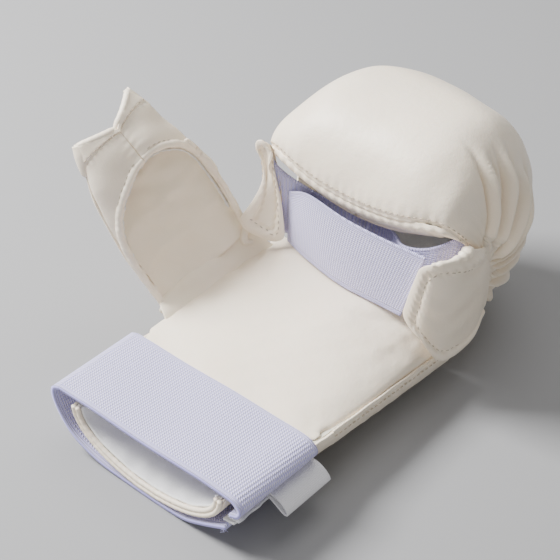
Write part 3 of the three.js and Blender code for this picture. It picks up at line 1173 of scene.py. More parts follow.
    def swell(self, piece: bpy.types.Object) -> None:
        """Inflates a closed cover with a short cloth simulation.

        Args:
            piece: The cover, which keeps its result as plain mesh.
        """
        remesh = piece.modifiers.new("Even", "REMESH")
        remesh.mode = "VOXEL"
        remesh.voxel_size = self.voxel * MM
        apply_modifiers(piece)
        before = np.array([v.co for v in piece.data.vertices])
        pins = piece.vertex_groups.new(name="Seam")
        low = [
            v.index for v in piece.data.vertices
            if v.co.z < (self.seam_z(v.co.y / MM) + 0.4) * MM
        ]
        pins.add(low, 1.0, "REPLACE")
        cloth = piece.modifiers.new("Stuffing", "CLOTH")
        settings = cloth.settings
        settings.use_pressure = True
        settings.uniform_pressure_force = self.pressure
        settings.effector_weights.gravity = 0.0
        settings.vertex_group_mass = "Seam"
        settings.tension_stiffness = settings.compression_stiffness = 25.0
        settings.bending_stiffness = 2.0
        cloth.point_cache.frame_start, cloth.point_cache.frame_end = 1, self.last_frame
        for number in range(1, self.last_frame + 1):
            bpy.context.scene.frame_set(number)
        apply_modifiers(piece)
        bpy.context.scene.frame_set(1)
        after = np.array([v.co for v in piece.data.vertices])
        if after.shape == before.shape:
            moved = after - before
            length = np.linalg.norm(moved, axis=1, keepdims=True)
            cap = self.most_swell * MM
            LOG.info("cushion swell: mean %.2f mm, most %.2f mm", length.mean() / MM, length.max() / MM)
            after = before + moved * np.minimum(1, cap / np.maximum(length, 1e-9))
        for vert, place in zip(piece.data.vertices, after):
            vert.co = place

    def detail(self, piece: bpy.types.Object) -> None:
        """Adds the soft dents, edge puckers and side wrinkles once the cover is swollen.

        Args:
            piece: The swollen cover.
        """
        mesh = bmesh.new()
        mesh.from_mesh(piece.data)
        bmesh.ops.subdivide_edges(mesh, edges=mesh.edges[:], cuts=1, use_grid_fill=True, smooth=1.0)
        mesh.normal_update()
        points = np.array([v.co for v in mesh.verts]) / MM
        side = ease(40, 52, np.abs(points[:, 0])) * ease(30, 34, points[:, 2])
        top = ease(29, 33, points[:, 2])
        swell = 0.42 * wander(points, 44, 21) * top + 0.14 * wander(points, 15, 22) * top
        wrinkle = 0.38 * np.sin(points[:, 1] / 2.3 + 2 * np.sin(points[:, 1] / 9)) * side
        left = bump(-47, 8, points[:, 0]) * top
        crease = -0.8 * np.abs(np.sin(points[:, 1] / 14.0 + 0.8)) ** 6 * left
        lift = swell + wrinkle + crease
        for vert, rise in zip(mesh.verts, lift):
            vert.co += vert.normal * float(rise) * MM
        bmesh.ops.smooth_vert(mesh, verts=mesh.verts[:], factor=0.4, use_axis_x=True,
                              use_axis_y=True, use_axis_z=True)
        mesh.to_mesh(piece.data)
        mesh.free()
        for polygon in piece.data.polygons:
            polygon.use_smooth = True

    def piping(self) -> None:
        """Builds the thin rolled seam between the under-skin and the cushion."""
        for name, sign in (("hand_seam_left", -1), ("hand_seam_right", 1)):
            y = np.linspace(-67, 14, 60)
            x = sign * (self.half - 0.75 + 0.12 * np.sin(y / 3))
            line = Path(np.stack([x, y, self.seam_z(y) + 0.15], axis=1))
            mesh = tube_mesh(line, beaded(0.6, 0.06, 160), 220, 10)
            dress(make_piece(name, mesh, self.finishes.leather), Slot.LEATHER, Body.HAND)
            drop = 2.6
            share = (self.seam_z(y) - drop) / self.seam_z(y)
            power = 2.1 + 1.0 * (y - self.wrist_y) / (self.knuckle_y - self.wrist_y)
            wide = self.half * (1 - (1 - share) ** power) ** (1 / power)
            row = Path(np.stack([sign * (wide + 0.05), y, self.seam_z(y) - drop], axis=1))
            side = np.array([sign, 0.0, -0.1])
            seam = Seam(name + "_stitches", row, self.finishes.thread, read_along(np.array([side, side])))
            dress(seam.make(), Slot.LEATHER, Body.HAND)

    def build(self) -> None:
        """Builds the whole hand pad."""
        self.under_skin()
        self.end_wall()
        cover = self.puffed()
        self.swell(cover)
        self.detail(cover)
        dress(cover, Slot.LEATHER, Body.HAND, "hand_pad_cover", "hand_pad_foam")
        self.piping()


def apply_modifiers(piece: bpy.types.Object) -> None:
    """Turns a piece's modifiers into plain mesh."""
    graph = bpy.context.evaluated_depsgraph_get()
    graph.update()
    made = bpy.data.meshes.new_from_object(piece.evaluated_get(graph), depsgraph=graph)
    piece.modifiers.clear()
    piece.data = made


# Side tabs and finger elastics ------------------------------------------------------------------


@dataclass(frozen=True)
class Ear:
    """The shape of one side ear."""

    name: str
    node: str
    rows: tuple[tuple[tuple[float, float, float], ...], ...]
    inside: tuple[float, float, float]
    wide: float
    tall: float
    radius: float
    corners: str
    seam: tuple[tuple[float, float], ...]


@dataclass
class SideTabs:
    """The two leather ears that hold the dome to the hand pad at its sides."""

    finishes: Wardrobe
    thickness: float = 2.5
    stitch_inset: float = 5.0
    turned_width: float = 4.6

    def shape(self, ear: Ear) -> tuple[Surface, float]:
        """The middle surface of an ear, still with square corners.

        Args:
            ear: The ear.

        Returns:
            The surface, and 1 or -1 for the outward side of its normals.
        """
        plain = ruled([Path(row, 200) for row in ear.rows])
        half = np.array([0.5])
        away = plain(half, half) - np.array([ear.inside])
        facing = float((normals_of(plain, half, half) * away).sum())
        return plain, 1.0 if facing > 0 else -1.0

    def make(self, ear: Ear, wrinkle: Height, open_back: bool) -> None:
        """Builds one ear with turned edges and an inset stitch line.

        Args:
            ear: The ear.
            wrinkle: Its relief.
            open_back: Whether its far end runs into the dome instead of ending in a turned edge.
        """
        plain, outward = self.shape(ear)

        def trimmed(u: Array, v: Array) -> tuple[Array, Array]:
            """The shares with the ear's round corners."""
            return rounded(u, v, ear.wide, ear.tall, ear.radius, ear.corners)

        def base(u: Array, v: Array) -> Array:
            """The rounded sheet."""
            return plain(*trimmed(u, v))

        def height(u: Array, v: Array) -> Array:
            """The turned edge, its stitch groove and the wrinkles."""
            far = u * 0 + 99 if open_back else (1 - u) * ear.wide
            edge = np.minimum(np.minimum(u * ear.wide, far), np.minimum(v, 1 - v) * ear.tall)
            groove = -0.7 * np.exp(-(((edge - self.stitch_inset) / 0.9) ** 2))
            turned = 0.75 * np.sin(np.pi * np.clip(edge / self.turned_width, 0, 1)) ** 0.7
            turned = turned * (edge < self.turned_width)
            pucker = 0.3 * np.sin((u * ear.wide + v * ear.tall) * 2 * math.pi / 4.3)
            pucker = pucker * bump(self.turned_width, 1.6, edge)
            sink = -1.5 * ease(0.8, 1.0, u) if open_back else 0.0
            return 0.9 + groove + turned + pucker + wrinkle(u, v) * ease(1, 6, edge) + sink

        def surface(u: Array, v: Array) -> Array:
            """The raised sheet."""
            norms = normals_of(plain, *trimmed(u, v))
            return base(u, v) + norms * (height(u, v) * outward)[..., None]

        piece = Cut(ear.name, surface, Grid(95, 105, ear.wide, ear.tall), self.thickness,
                    self.finishes.leather, ear.inside, smooth=1).make()
        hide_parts(ear.node)
        shares = Path([(u, v, 0) for u, v in ear.seam], 200).line[:, :2]
        places = surface(shares[:, 0], shares[:, 1])
        norms = normals_of(base, shares[:, 0], shares[:, 1]) * outward
        row = Seam(ear.name + "_stitches", Path(places), self.finishes.thread, read_along(norms)).make()
        parts = [piece, row]
        if open_back:
            parts.append(self.top_roll(ear, surface, outward))
        for part in parts:
            if open_back:
                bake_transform(part)
            else:
                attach(part, Body.HAND.value)

    def top_roll(self, ear: Ear, surface: Surface, outward: float) -> bpy.types.Object:
        """Builds the twisted roll along an ear's top edge, fullest at its far corner.

        Args:
            ear: The ear.
            surface: The ear's finished face.
            outward: 1 or -1 for the outward side of its normals.

        Returns:
            The roll.
        """
        u = np.linspace(0.1, 0.66, 40)
        v = np.full_like(u, 0.985)
        places = surface(u, v) - normals_of(surface, u, v) * outward * 0.9
        places[:, 2] += 0.6 + 1.1 * bump(0.6, 0.1, u)

        def size(share: Array) -> Array:
            """The roll's radius, lumpy where the leather is twisted."""
            full = 1.5 + 1.5 * bump(0.8, 0.2, share) + 0.28 * np.sin(share * 31 + 2 * np.sin(share * 9))
            return full * (1 - 0.8 * np.abs(2 * share - 1) ** 9)

        mesh = tube_mesh(Path(places), size, 150, 16, flat=0.85)
        roll = make_piece("outer_ear_top_roll", mesh, self.finishes.leather)
        return roll

    def build(self) -> None:
        """Builds both ears."""
        left = Ear(
            "thumb_side_ear", "thumb_side_tab",
            (((-38.5, 7.0, 42.6), (-47, 3.0, 43.6), (-55, -1.2, 46.6), (-62.0, -4.6, 51)),
             ((-43.2, 8.6, 70), (-45.5, 7.8, 71.5), (-49, 7.0, 73), (-52.5, 6, 75.5)),
             ((-50.8, 7.6, 93.5), (-52.4, 6.6, 97.5), (-55.2, 6.0, 97), (-57.6, 6.0, 91.5))),
            (-20, 30, 65), 19.0, 50.0, 5.5, "00 10 11 01",
            ((0.13, 0.9), (0.2, 0.5), (0.16, 0.1), (0.45, 0.09), (0.84, 0.1)),
        )
        right = Ear(
            "outer_side_ear", "outer_side_tab",
            (((39.0, -2.2, 43.5), (49.6, -0.8, 37.2), (56.8, 4.5, 24.4), (59.2, 22, 23.5), (58.2, 38, 30)),
             ((43, -1.4, 62), (53, 0.0, 56), (58.8, 9, 50), (60.2, 26, 49), (59.0, 40, 53)),
             ((48.2, -0.6, 81.5), (54.5, 1.0, 81.5), (59.4, 9, 82.5), (60.2, 20, 81.5), (59.2, 31.5, 75.5))),
            (10, 40, 55), 42.0, 46.0, 8.0, "00 01",
            ((0.66, 0.84), (0.42, 0.88), (0.2, 0.88), (0.125, 0.75), (0.13, 0.45), (0.125, 0.2),
             (0.2, 0.11), (0.4, 0.11), (0.62, 0.12)),
        )

        def left_folds(u: Array, v: Array) -> Array:
            """A soft diagonal fold."""
            return 0.6 * np.sin(v * 11 + u * 4)

        def right_folds(u: Array, v: Array) -> Array:
            """Soft level wrinkles, and a full twisted corner at the top."""
            soft = 0.55 * np.sin(v * 24 + 1.6 * np.sin(u * 6)) * bump(0.5, 0.26, v) * bump(0.4, 0.35, u)
            corner = 3.4 * bump(0.93, 0.075, v) * bump(0.66, 0.2, u)
            tuck = -1.7 * bump(0.82, 0.04, v + 0.1 * (u - 0.6)) * bump(0.66, 0.26, u)
            drop = -1.3 * bump(0.97, 0.03, v) * bump(0.3, 0.08, u)
            return soft + corner + tuck + drop

        self.make(left, left_folds, open_back=False)
        self.make(right, right_folds, open_back=True)


@dataclass
class FingerElastics:
    """The two bands over the fingers and the short divider between them."""

    finishes: Wardrobe
    thickness: float = 1.3

    def front(self, u: Array, v: Array) -> Array:
        """The front band's middle surface.

        Args:
            u: Shares of its length, from the thumb side.
            v: Shares of its width, from the low edge.

        Returns:
            The places on the surface.
        """
        low = [(-39.4, 9.8, 43.6), (-23, 4.6, 43.4), (4, 0.4, 43.2), (37.5, 0.3, 43.4)]
        high = [(-39.6, 11, 71), (-23, 5.5, 79.4), (4, 1.3, 79.2), (47.5, 2.2, 79.5)]
        points = ruled([Path(low), Path(high)])(u, v)
        room = np.sin(np.pi * np.clip(u, 0, 1))
        points[:, 1] += (-0.8 * np.sin(v * np.pi) + 0.35 * np.sin(u * 9 + v * 3)) * room
        return points

    def rear(self, u: Array, v: Array) -> Array:
        """The rear band's middle surface, which rises behind both ears.

        Args:
            u: Shares of its length, from the thumb side.
            v: Shares of its width, from the low edge.

        Returns:
            The places on the surface.
        """
        low = Path([(-50, 9.5, 52), (-47, 8.8, 48), (-42, 11.5, 46), (-32, 18, 45.5), (-8, 25.5, 45.5),
                    (8, 25, 45.5), (22, 18, 45.5), (33, 11, 45.5), (42, 9.0, 46), (49, 11, 48),
                    (55, 22, 52)])
        high = Path([(-51, 9.4, 91), (-49.5, 8.8, 88.5), (-47.0, 8.5, 85.5), (-42, 10.6, 80.5),
                     (-34, 14.2, 75.5), (-24, 19.5, 70), (-8, 25, 67), (8, 24.5, 67), (20, 17, 70.5),
                     (29, 9.8, 73.5), (37, 8.6, 76), (44, 9.5, 79), (49.5, 11.5, 82.5),
                     (53.5, 16.5, 85), (56, 25, 84)])
        return ruled([low, high])(u, v)

    def divider(self, u: Array, v: Array) -> Array:
        """The divider's middle surface."""
        x = 8 + 10 * u + 6 * np.sin(np.pi * u)
        return np.stack([x, 4.5 + 16.5 * u, 62 + 16 * (v - 0.5) - 6 * u], axis=-1)

    def build(self) -> None:
        """Builds the three elastics."""
        for name, surface, grid, node, cut in (
            ("front_finger_band", self.front, Grid(150, 44, 92, 37), "finger_strap_front", (0.036, 0.086)),
            ("rear_finger_band", self.rear, Grid(130, 30, 104, 37), "finger_strap_rear", (0.037, 0.128)),
            ("finger_divider_band", self.divider, Grid(36, 20, 22, 37), "finger_divider_strap",
             (0.016, 0.023)),
        ):
            piece = Cut(name, surface, grid, self.thickness, self.finishes.finger, (0, 60, 60),
                        centred=True).make()
            dress(piece, Slot.ELASTIC, Body.HAND, node)
        self.edges()

    def edges(self) -> None:
        """Builds the rounded selvedges of the two long bands."""
        shares = np.linspace(0.004, 0.996, 80)
        for name, surface, v in (
            ("front_band_top_edge", self.front, 1.0),
            ("front_band_low_edge", self.front, 0.0),
            ("rear_band_top_edge", self.rear, 1.0),
        ):
            line = Path(surface(shares, np.full_like(shares, v)))
            mesh = tube_mesh(line, beaded(0.78, 0.1, 500), 300, 8)
            dress(make_piece(name, mesh, self.finishes.finger), Slot.ELASTIC, Body.HAND)


# Wrist ------------------------------------------------------------------------------------------


@dataclass
class Wrist:
    """The padded cuff, the elastic strap with its closure, and the pull tab."""

    finishes: Wardrobe
    half: float = 45.5
    front_y: float = -128.0
    back_y: float = -80.0
    near_y: float = -130.0
    far_y: float = -81.0
    band_thickness: float = 1.9
    skin_thickness: float = 1.2
    lining_inset: float = 4.2
    lining_thickness: float = 1.0
    patch_thickness: float = 1.0
    tab_thickness: float = 0.8

    def cuff(self, inset: float) -> Surface:
        """The cuff's gutter shape.

        Args:
            inset: How deep inside the outer face, in millimetres.

        Returns:
            The surface, from the thumb side to the outer side and from the mouth to the hand.
        """

        def point(u: Array, v: Array) -> Array:
            """The places on the gutter."""
            angle = (u - 0.5) * math.pi
            x = (self.half - inset) * np.sin(angle)
            rise = (27 - 2.4 - inset) * (1 - np.cos(angle))
            y = self.front_y + (self.back_y - self.front_y) * v
            floor = 2.4 + inset
            return np.stack([x, y, floor + np.where(rise < 0.35, 0.0, rise)], axis=-1)

        return point

    def band(self, run: Path) -> Surface:
        """A strap of full width along a run.

        Args:
            run: The run, in a plane across the wrist.

        Returns:
            The strap's middle surface.
        """

        def point(u: Array, v: Array) -> Array:
            """The places on the strap."""
            spot = run.at(u)
            spot[:, 1] = self.near_y + (self.far_y - self.near_y) * v
            return spot

        return point

    def build_cuff(self) -> None:
        """Builds the cuff's skin, its cloth lining and the double piping at its mouth."""
        skin = Cut("cuff_skin", self.cuff(0.0), Grid(90, 40, 120, 48), self.skin_thickness,
                   self.finishes.leather, (0, -104, 24)).make()
        dress(skin, Slot.LEATHER, Body.HAND, "cuff_shell")

        def lining(u: Array, v: Array) -> Array:
            """The lining, slightly uneven over the padding."""
            points = self.cuff(self.lining_inset)(u, v)
            points[:, 2] += 0.3 * wander(points, 12, 31)
            return points

        cloth = Cut("cuff_lining_cloth", lining, Grid(100, 50, 110, 48), self.lining_thickness,
                    self.finishes.lining, (0, -104, 24)).make()
        dress(cloth, Slot.WHITE_LINING, Body.HAND, "cuff_lining")
        shares = np.linspace(0.0, 1.0, 60)
        for name, inset, size, shift, nodes in (
            ("cuff_piping_outer", 1.3, 1.25, 1.2, ("cuff_binding",)),
            ("cuff_piping_inner", 3.5, 1.15, 1.0, ()),
        ):
            points = self.cuff(inset)(shares, np.zeros_like(shares))
            points[:, 1] -= shift
            mesh = tube_mesh(Path(points), beaded(size, 0.05, 190), 260, 12)
            piece = make_piece(name, mesh, self.finishes.leather)
            dress(piece, Slot.LEATHER, Body.HAND, *nodes)

    def build_strap(self) -> None:
        """Builds the two runs of elastic and their closure."""
        under = Path([(-52.2, 0, 33.05), (-56.6, 0, 30.8), (-57.6, 0, 26.5), (-55, 0, 19),
                      (-47.5, 0, 9.3), (-33, 0, 3), (-14, 0, 1.35), (14, 0, 1.35), (24, 0, 2.8),
                      (35, 0, 7.6), (47.5, 0, 14.2)])
        over = Path([(-52.2, 0, 33.05), (-20, 0, 33.05), (20, 0, 33.05), (46, 0, 33.05),
                     (52.5, 0, 32), (55.6, 0, 28.8), (54.2, 0, 25.2), (50, 0, 23.2)])
        base = Cut("wrist_band_under", self.band(under), Grid(200, 50, under.length, 49),
                   self.band_thickness, self.finishes.wrist, (0, -104, 24), centred=True).make()
        dress(base, Slot.ELASTIC, Body.HAND, "wrist_strap_base")

        def waved(u: Array, v: Array) -> Array:
            """The top run with the slight slack of worn elastic."""
            points = self.band(over)(u, v)
            flat = ease(0.03, 0.15, u) * (1 - ease(0.72, 0.85, u))
            points[:, 2] += (0.35 * np.sin(u * 11 + v * 2) - 0.5 * np.sin(v * np.pi) ** 2) * flat
            return points

        top = Cut("wrist_band_top", waved, Grid(220, 50, over.length, 49), self.band_thickness,
                  self.finishes.wrist, (0, -104, 0), centred=True).make()
        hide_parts("wrist_strap_top")
        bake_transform(top)
        for name, across, along, rise, finish, body, node in (
            ("closure_loop", (44.5, 50.5), (-128, -82), 1.5, self.finishes.lining, Body.HAND,
             "closure_loop_patch"),
            ("closure_hook", (46.0, 52.5), (-127, -79.4), 2.85, self.finishes.hook, Body.STRAP,
             "closure_hook_patch"),
        ):
            sheet = Grid(14, 90, across[1] - across[0], 47)
            piece = Cut(name, self.patch(across, along, rise), sheet, self.patch_thickness, finish,
                        (48, -104, 0)).make()
            dress(piece, Slot.HOOK, body, node)

    def patch(self, across: tuple[float, float], along: tuple[float, float], rise: float) -> Surface:
        """A flat closure patch with a slightly wavy free edge.

        Args:
            across: Where it starts and ends across the wrist, in millimetres.
            along: Where it starts and ends along the hand.
            rise: How far it lies above the lower strap's end.

        Returns:
            The patch's upper surface.
        """

        def point(u: Array, v: Array) -> Array:
            """The places on the patch."""
            x = across[0] + (across[1] - across[0]) * u + 0.25 * np.sin(v * 31) * u
            z = 15.6 + 0.12 * (x - 47.5) + rise - 0.15 * np.sin(v * 9)
            return np.stack([x, along[0] + (along[1] - along[0]) * v, z], axis=-1)

        return point

    def build_tab(self) -> None:
        """Builds the folded satin loop that hangs out of the closure."""
        run = Path([(46.4, 0, 21.2), (52, 0, 21.4), (58, 0, 20.2), (62.0, 0, 17.0), (62.6, 0, 15.0),
                    (61.0, 0, 14.6), (56.3, 0, 17.4), (51.6, 0, 19.5), (47.2, 0, 19.5)])

        def point(u: Array, v: Array) -> Array:
            """The folded loop, a little open at its near end."""
            spot = run.at(u)
            spot[:, 1] = -108 + 28 * v
            open_end = (1 - v) * bump(0.72, 0.2, u)
            spot[:, 2] -= 0.8 * open_end
            return spot

        piece = Cut("pull_tab_loop", point, Grid(110, 60, run.length, 28), self.tab_thickness,
                    self.finishes.tape, (54, -94, 18), centred=True).make()
        dress(piece, Slot.TAPE, Body.STRAP, "pull_tab")

    def threads(self) -> None:
        """Builds a few loose yarns at the under-band's cut end."""
        rng = np.random.RandomState(5)
        mesh = bmesh.new()
        for index in range(7):
            start = np.array([46.8, -129.2 + 0.5 * index, 13.4])
            bend = start + rng.uniform([-1, -2.2, -1.5], [1.4, -0.4, 0.6])
            tip = bend + rng.uniform([-1.5, -2.4, -1.5], [1.6, 0.4, 0.8])
            one = tube_mesh(Path([start, bend, tip], 40), beaded(0.13), 12, 5)
            data = bpy.data.meshes.new("yarn")
            one.to_mesh(data)
            one.free()
            mesh.from_mesh(data)
            bpy.data.meshes.remove(data)
        dress(make_piece("loose_yarns", mesh, self.finishes.wrist), Slot.ELASTIC, Body.HAND)

    def build(self) -> None:
        """Builds the whole wrist."""
        self.build_cuff()
        self.build_strap()
        self.build_tab()
        self.threads()


# Thumb ------------------------------------------------------------------------------------------


def unit(values: Sequence[float]) -> Array:
    """A direction of length 1."""
    vector = np.asarray(values, float)
    return vector / np.linalg.norm(vector)


@dataclass
class Thumb:
    """The thumb sleeve: padded back, creased inner panel and two front panels with a centre seam."""

    finishes: Wardrobe
    base: Array = field(default_factory=lambda: np.array([-59.5, -27.0, 37.0]))
    axis: Array = field(default_factory=lambda: unit((-46, -19, 78)))
    length: float = 92.0
    skin_thickness: float = 1.3
    panel_thickness: float = 1.9
    inner_inset: float = 6.4
    inner_thickness: float = 0.8

    def __post_init__(self) -> None:
        """Works out the sleeve's own directions."""
        self.out = unit(np.cross(self.axis, unit((0, -0.95, -0.31))))
        self.across = unit(np.cross(self.out, self.axis))

    def spot(self, across: Array, along: Array, depth: Array) -> Array:
        """Places from their three distances in the sleeve.

        Args:
            across: Distances from the middle towards the wrist side, in millimetres.
            along: Distances from the root towards the tip.
            depth: Distances towards the open front.

        Returns:
            The places, in rows of three.
        """
        return (self.base + across[..., None] * self.across + along[..., None] * self.axis
                + depth[..., None] * self.out)

    def half(self, along: Array) -> Array:
        """The sleeve's half width."""
        share = along / self.length
        return 29.5 + (18 - 29.5) * share + 7 * np.sin(math.pi * share)

    def full(self, along: Array) -> Array:
        """How far the sleeve stands off its middle, as a share."""
        share = np.clip(along / self.length * 0.82 + 0.08, 0, 1)
        return 0.42 + 0.58 * np.sin(math.pi * share) ** 0.8

    def mouth(self, side: int, u: Array) -> tuple[Array, Array]:
        """The mouth's edge on one side.

        Args:
            side: -1 for the palm side, 1 for the wrist side.
            u: The share of the way from the centre seam to the sleeve's root.

        Returns:
            The across shares and the distances along the sleeve.
        """
        if side > 0:
            knots = [(0, 66), (0.26, 64.8), (0.46, 61.8), (0.68, 57), (0.83, 51.0), (0.91, 44.0),
                     (0.95, 34.6), (0.965, 23), (0.975, 10), (0.985, 1.5)]
        else:
            knots = [(0, 66.5), (0.26, 66.6), (0.47, 65.0), (0.71, 60.6), (0.86, 55.0), (0.94, 46.5),
                     (0.955, 35.4), (0.96, 24.8), (0.965, 14), (0.985, 3)]
        line = Path([(across * 30, along, 0) for across, along in knots], 300).at(u)
        return line[..., 0] / 30, line[..., 1]

    def tip(self, side: Array, p: Array) -> Array:
        """Where the closed tip lies: a notch in the middle and a point at each side.

        Args:
            side: Below 0 on the palm side, above 0 on the wrist side.
            p: The across share, from 0 in the middle to 1 at the side.

        Returns:
            The distance along the sleeve.
        """
        rise = np.where(np.asarray(side) < 0, 10.0, 5.0)
        return 83.0 + rise * np.maximum(p, 1e-6) ** 0.75

    def front_depth(self, p: Array, along: Array) -> Array:
        """How far the front panels stand forward.

        Args:
            p: The across share, from 0 in the middle to 1 at the side.
            along: The distance along the sleeve.

        Returns:
            The depth in millimetres.
        """
        u = np.arcsin(np.clip(p, 0, 1)) / (math.pi / 2)
        valley = 1 - 0.34 * np.exp(-((u / 0.17) ** 2)) * (0.4 + 0.6 * ease(60, 86, along))
        flat = 1 - 0.25 * ease(70, 92, along)
        return 0.6 + 11 * self.full(along) * np.cos(np.arcsin(np.clip(p, 0, 1))) * valley * flat

    def back(self, inset: float) -> Surface:
        """The padded back; its end meets the front at the closed tip.

        Args:
            inset: How deep inside the back's skin, in millimetres.

        Returns:
            The surface, from the palm side to the wrist side and from the root to the tip.
        """

        def point(u: Array, v: Array) -> Array:
            """The places on the back."""
            angle = (u - 0.5) * math.pi
            p = np.abs(np.sin(angle))
            along = self.tip(np.sign(angle), p) * v
            half = self.half(along) - inset * 0.22
            depth = np.maximum(12 * self.full(along), 7.5) - inset
            closed = ease(0.66, 1.0, v) ** 1.3
            depth = -depth * np.cos(angle) * (1 - closed)
            depth = depth + (self.front_depth(p, along) - 2.3 - 0.1 * inset) * closed
            return self.spot(half * np.sin(angle), along, depth)

        return point

    def front(self, side: int) -> Surface:
        """A front panel.

        Args:
            side: -1 for the palm side, 1 for the wrist side.

        Returns:
            The surface, from the centre seam to the side and from the mouth to the tip.
        """

        def point(u: Array, v: Array) -> Array:
            """The places on the panel."""
            low_p, low = self.mouth(side, u)
            high_p = np.sin(u * math.pi / 2)
            p = low_p + (high_p - low_p) * ease(0, 0.8, v)
            along = low + (self.tip(side, high_p) - low) * v
            across = side * np.maximum(self.half(along) * p, 0.02)
            return self.spot(across, along, self.front_depth(p, along))

        return point

    def centre(self) -> tuple[float, float, float]:
        """A place in the middle of the sleeve."""
        return tuple(self.base + self.axis * 50)

    def outward(self, surface: Surface) -> float:
        """Which way along the surface's normals is out of the sleeve."""
        u = v = np.array([0.5])
        away = surface(u, v) - np.array([self.centre()])
        return 1.0 if float((normals_of(surface, u, v) * away).sum()) > 0 else -1.0

    def build_back(self) -> None:
        """Builds the back skin and the inner panel with its creases."""
        skin = self.back(0.0)

        def skin_height(u: Array, v: Array) -> Array:
            """Soft waves, deeper towards the root."""
            points = skin(u, v)
            calm = ease(0, 0.05, v) * ease(0, 0.05, 1 - v)
            return (0.4 * wander(points, 34, 41) + 0.07 * wander(points, 13, 42)) * calm - 0.3

        back = Cut("thumb_back_skin", lifted(skin, skin_height, self.outward(skin)),
                   Grid(110, 110, 90, 92), self.skin_thickness, self.finishes.leather,
                   self.centre()).make()
        dress(back, Slot.LEATHER, Body.THUMB, "thumb_back_shell", "thumb_foam")
        inner = self.back(self.inner_inset)

        def inner_height(u: Array, v: Array) -> Array:
            """Creases across the panel and a soft fold along it."""
            points = inner(u, v)
            cross = -0.55 * np.abs(np.sin(v * 15 + 2.2 * u + 0.6 * np.sin(u * 7))) ** 9
            fold = 0.5 * np.sin(u * 11 + v * 3) * bump(0.35, 0.3, v)
            return cross + fold + 0.3 * wander(points, 14, 43)

        panel = Cut("thumb_inner_skin", lifted(inner, inner_height, self.outward(inner)),
                    Grid(100, 110, 80, 92), self.inner_thickness, self.finishes.inner,
                    self.centre()).make()
        dress(panel, Slot.LEATHER_INNER, Body.THUMB, "thumb_inner_panel")
        shares = np.linspace(0.0, 1.0, 60)
        outer_edge = Path(skin(shares, np.full_like(shares, 0.012)))
        inner_edge = Path(inner(shares, np.full_like(shares, 0.012)))
        root = Cut("thumb_root_edge", ruled([outer_edge, inner_edge]), Grid(90, 8, 80, 6), 1.0,
                   self.finishes.leather, self.centre(), centred=True).make()
        dress(root, Slot.LEATHER, Body.THUMB)

    def build_front(self, side: int, name: str, node: str, roll_node: str) -> None:
        """Builds one front panel, its mouth roll and its two rows of stitches.

        Args:
            side: -1 for the palm side, 1 for the wrist side.
            name: The panel's short name.
            node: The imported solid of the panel.
            roll_node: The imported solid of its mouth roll.
        """
        base = self.front(side)
        out = self.outward(base)

        def height(u: Array, v: Array) -> Array:
            """Panel fullness, the tip hem's step and small puckers at the seams."""
            points = base(u, v)
            hem = 0.5 * ease(0.885, 0.9, v) - 0.5 * np.exp(-(((v - 0.885) / 0.012) ** 2))
            pucker = 0.08 * np.sin(v * 30) * np.exp(-((u / 0.12) ** 2))
            soft = 0.35 * wander(points, 18, 44 + side)
            edge = 0.12 * np.sin(u * 46) * np.exp(-((v / 0.08) ** 2))
            ridge = 0.6 * np.exp(-((u / 0.06) ** 2))
            return hem + pucker + soft * ease(0, 0.1, v) + edge + ridge - 0.2

        surface = lifted(base, height, out)
        panel = Cut(f"thumb_{name}_panel", surface, Grid(90, 110, 34, 60), self.panel_thickness,
                    self.finishes.leather, self.centre(), smooth=1).make()
        dress(panel, Slot.LEATHER, Body.THUMB, node)
        self.mouth_roll(side, name, roll_node)
        self.stitches(surface, f"thumb_{name}_mouth_stitches", 0.07, out)
        self.stitches(surface, f"thumb_{name}_tip_stitches", 0.90, out)

    def mouth_roll(self, side: int, name: str, node: str) -> None:
        """Builds the puckered roll along the mouth, down to where it meets the hand.

        Args:
            side: -1 for the palm side, 1 for the wrist side.
            name: The panel's short name.
            node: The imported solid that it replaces.
        """
        shares = np.linspace(0.0, 1.0, 60)
        p, along = self.mouth(side, shares)
        across = side * (self.half(along) - 0.4) * np.minimum(p + 0.012, 1)
        places = self.spot(across, along - 0.9 * (1 - p**6), self.front_depth(p, along) - 1.0)
        end = [(-57.6, -59.5, 31.6)] if side > 0 else [(-56.8, -3.0, 41.5), (-55.6, 0.4, 39.5)]
        line = Path(np.concatenate([places, np.array(end, float)]), 600)

        def beads(share: Array) -> Array:
            """The roll's radius, lightly puckered."""
            return 1.85 + 0.05 * np.sin(share * 170) + 0.12 * np.sin(share * 61 + 1)

        roll = make_piece(f"thumb_{name}_mouth_roll", tube_mesh(line, beads, 420, 14),
                          self.finishes.leather)
        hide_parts(node)
        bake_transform(roll)
        lined = self.spot(across * 0.93, along - 2.6 * (1 - p**6) - 0.5,
                          self.front_depth(p, along) - 2.9)

        def ragged(share: Array) -> Array:
            """The raw seam's half width, frayed."""
            return 1.1 + 0.35 * np.sin(share * 83) * np.sin(share * 31)

        rag = tube_mesh(Path(lined[:50], 400), ragged, 260, 8, flat=0.45)
        raw = make_piece(f"thumb_{name}_seam_allowance", rag, self.finishes.backing)
        dress(raw, Slot.LEATHER_INNER, Body.THUMB)

    def build_tip(self) -> None:
        """Builds the plump turned edges that close the tip, one for each front panel."""
        for side, name in ((-1, "palm"), (1, "wrist")):
            u = np.linspace(0.0, 1.0, 50)
            p = np.sin(u * math.pi / 2)
            along = self.tip(side, p)
            across = side * (self.half(along) * p - 0.4)
            line = Path(self.spot(across, along - 0.4, self.front_depth(p, along) - 1.6), 300)

            def size(share: Array) -> Array:
                """The edge's radius, thinner at both ends."""
                return (1.8 + 0.04 * np.sin(share * 40)) * (1 - 0.55 * np.abs(2 * share - 1) ** 8)

            piece = make_piece(f"thumb_{name}_tip_edge", tube_mesh(line, size, 160, 14),
                               self.finishes.leather)
            dress(piece, Slot.LEATHER, Body.THUMB)

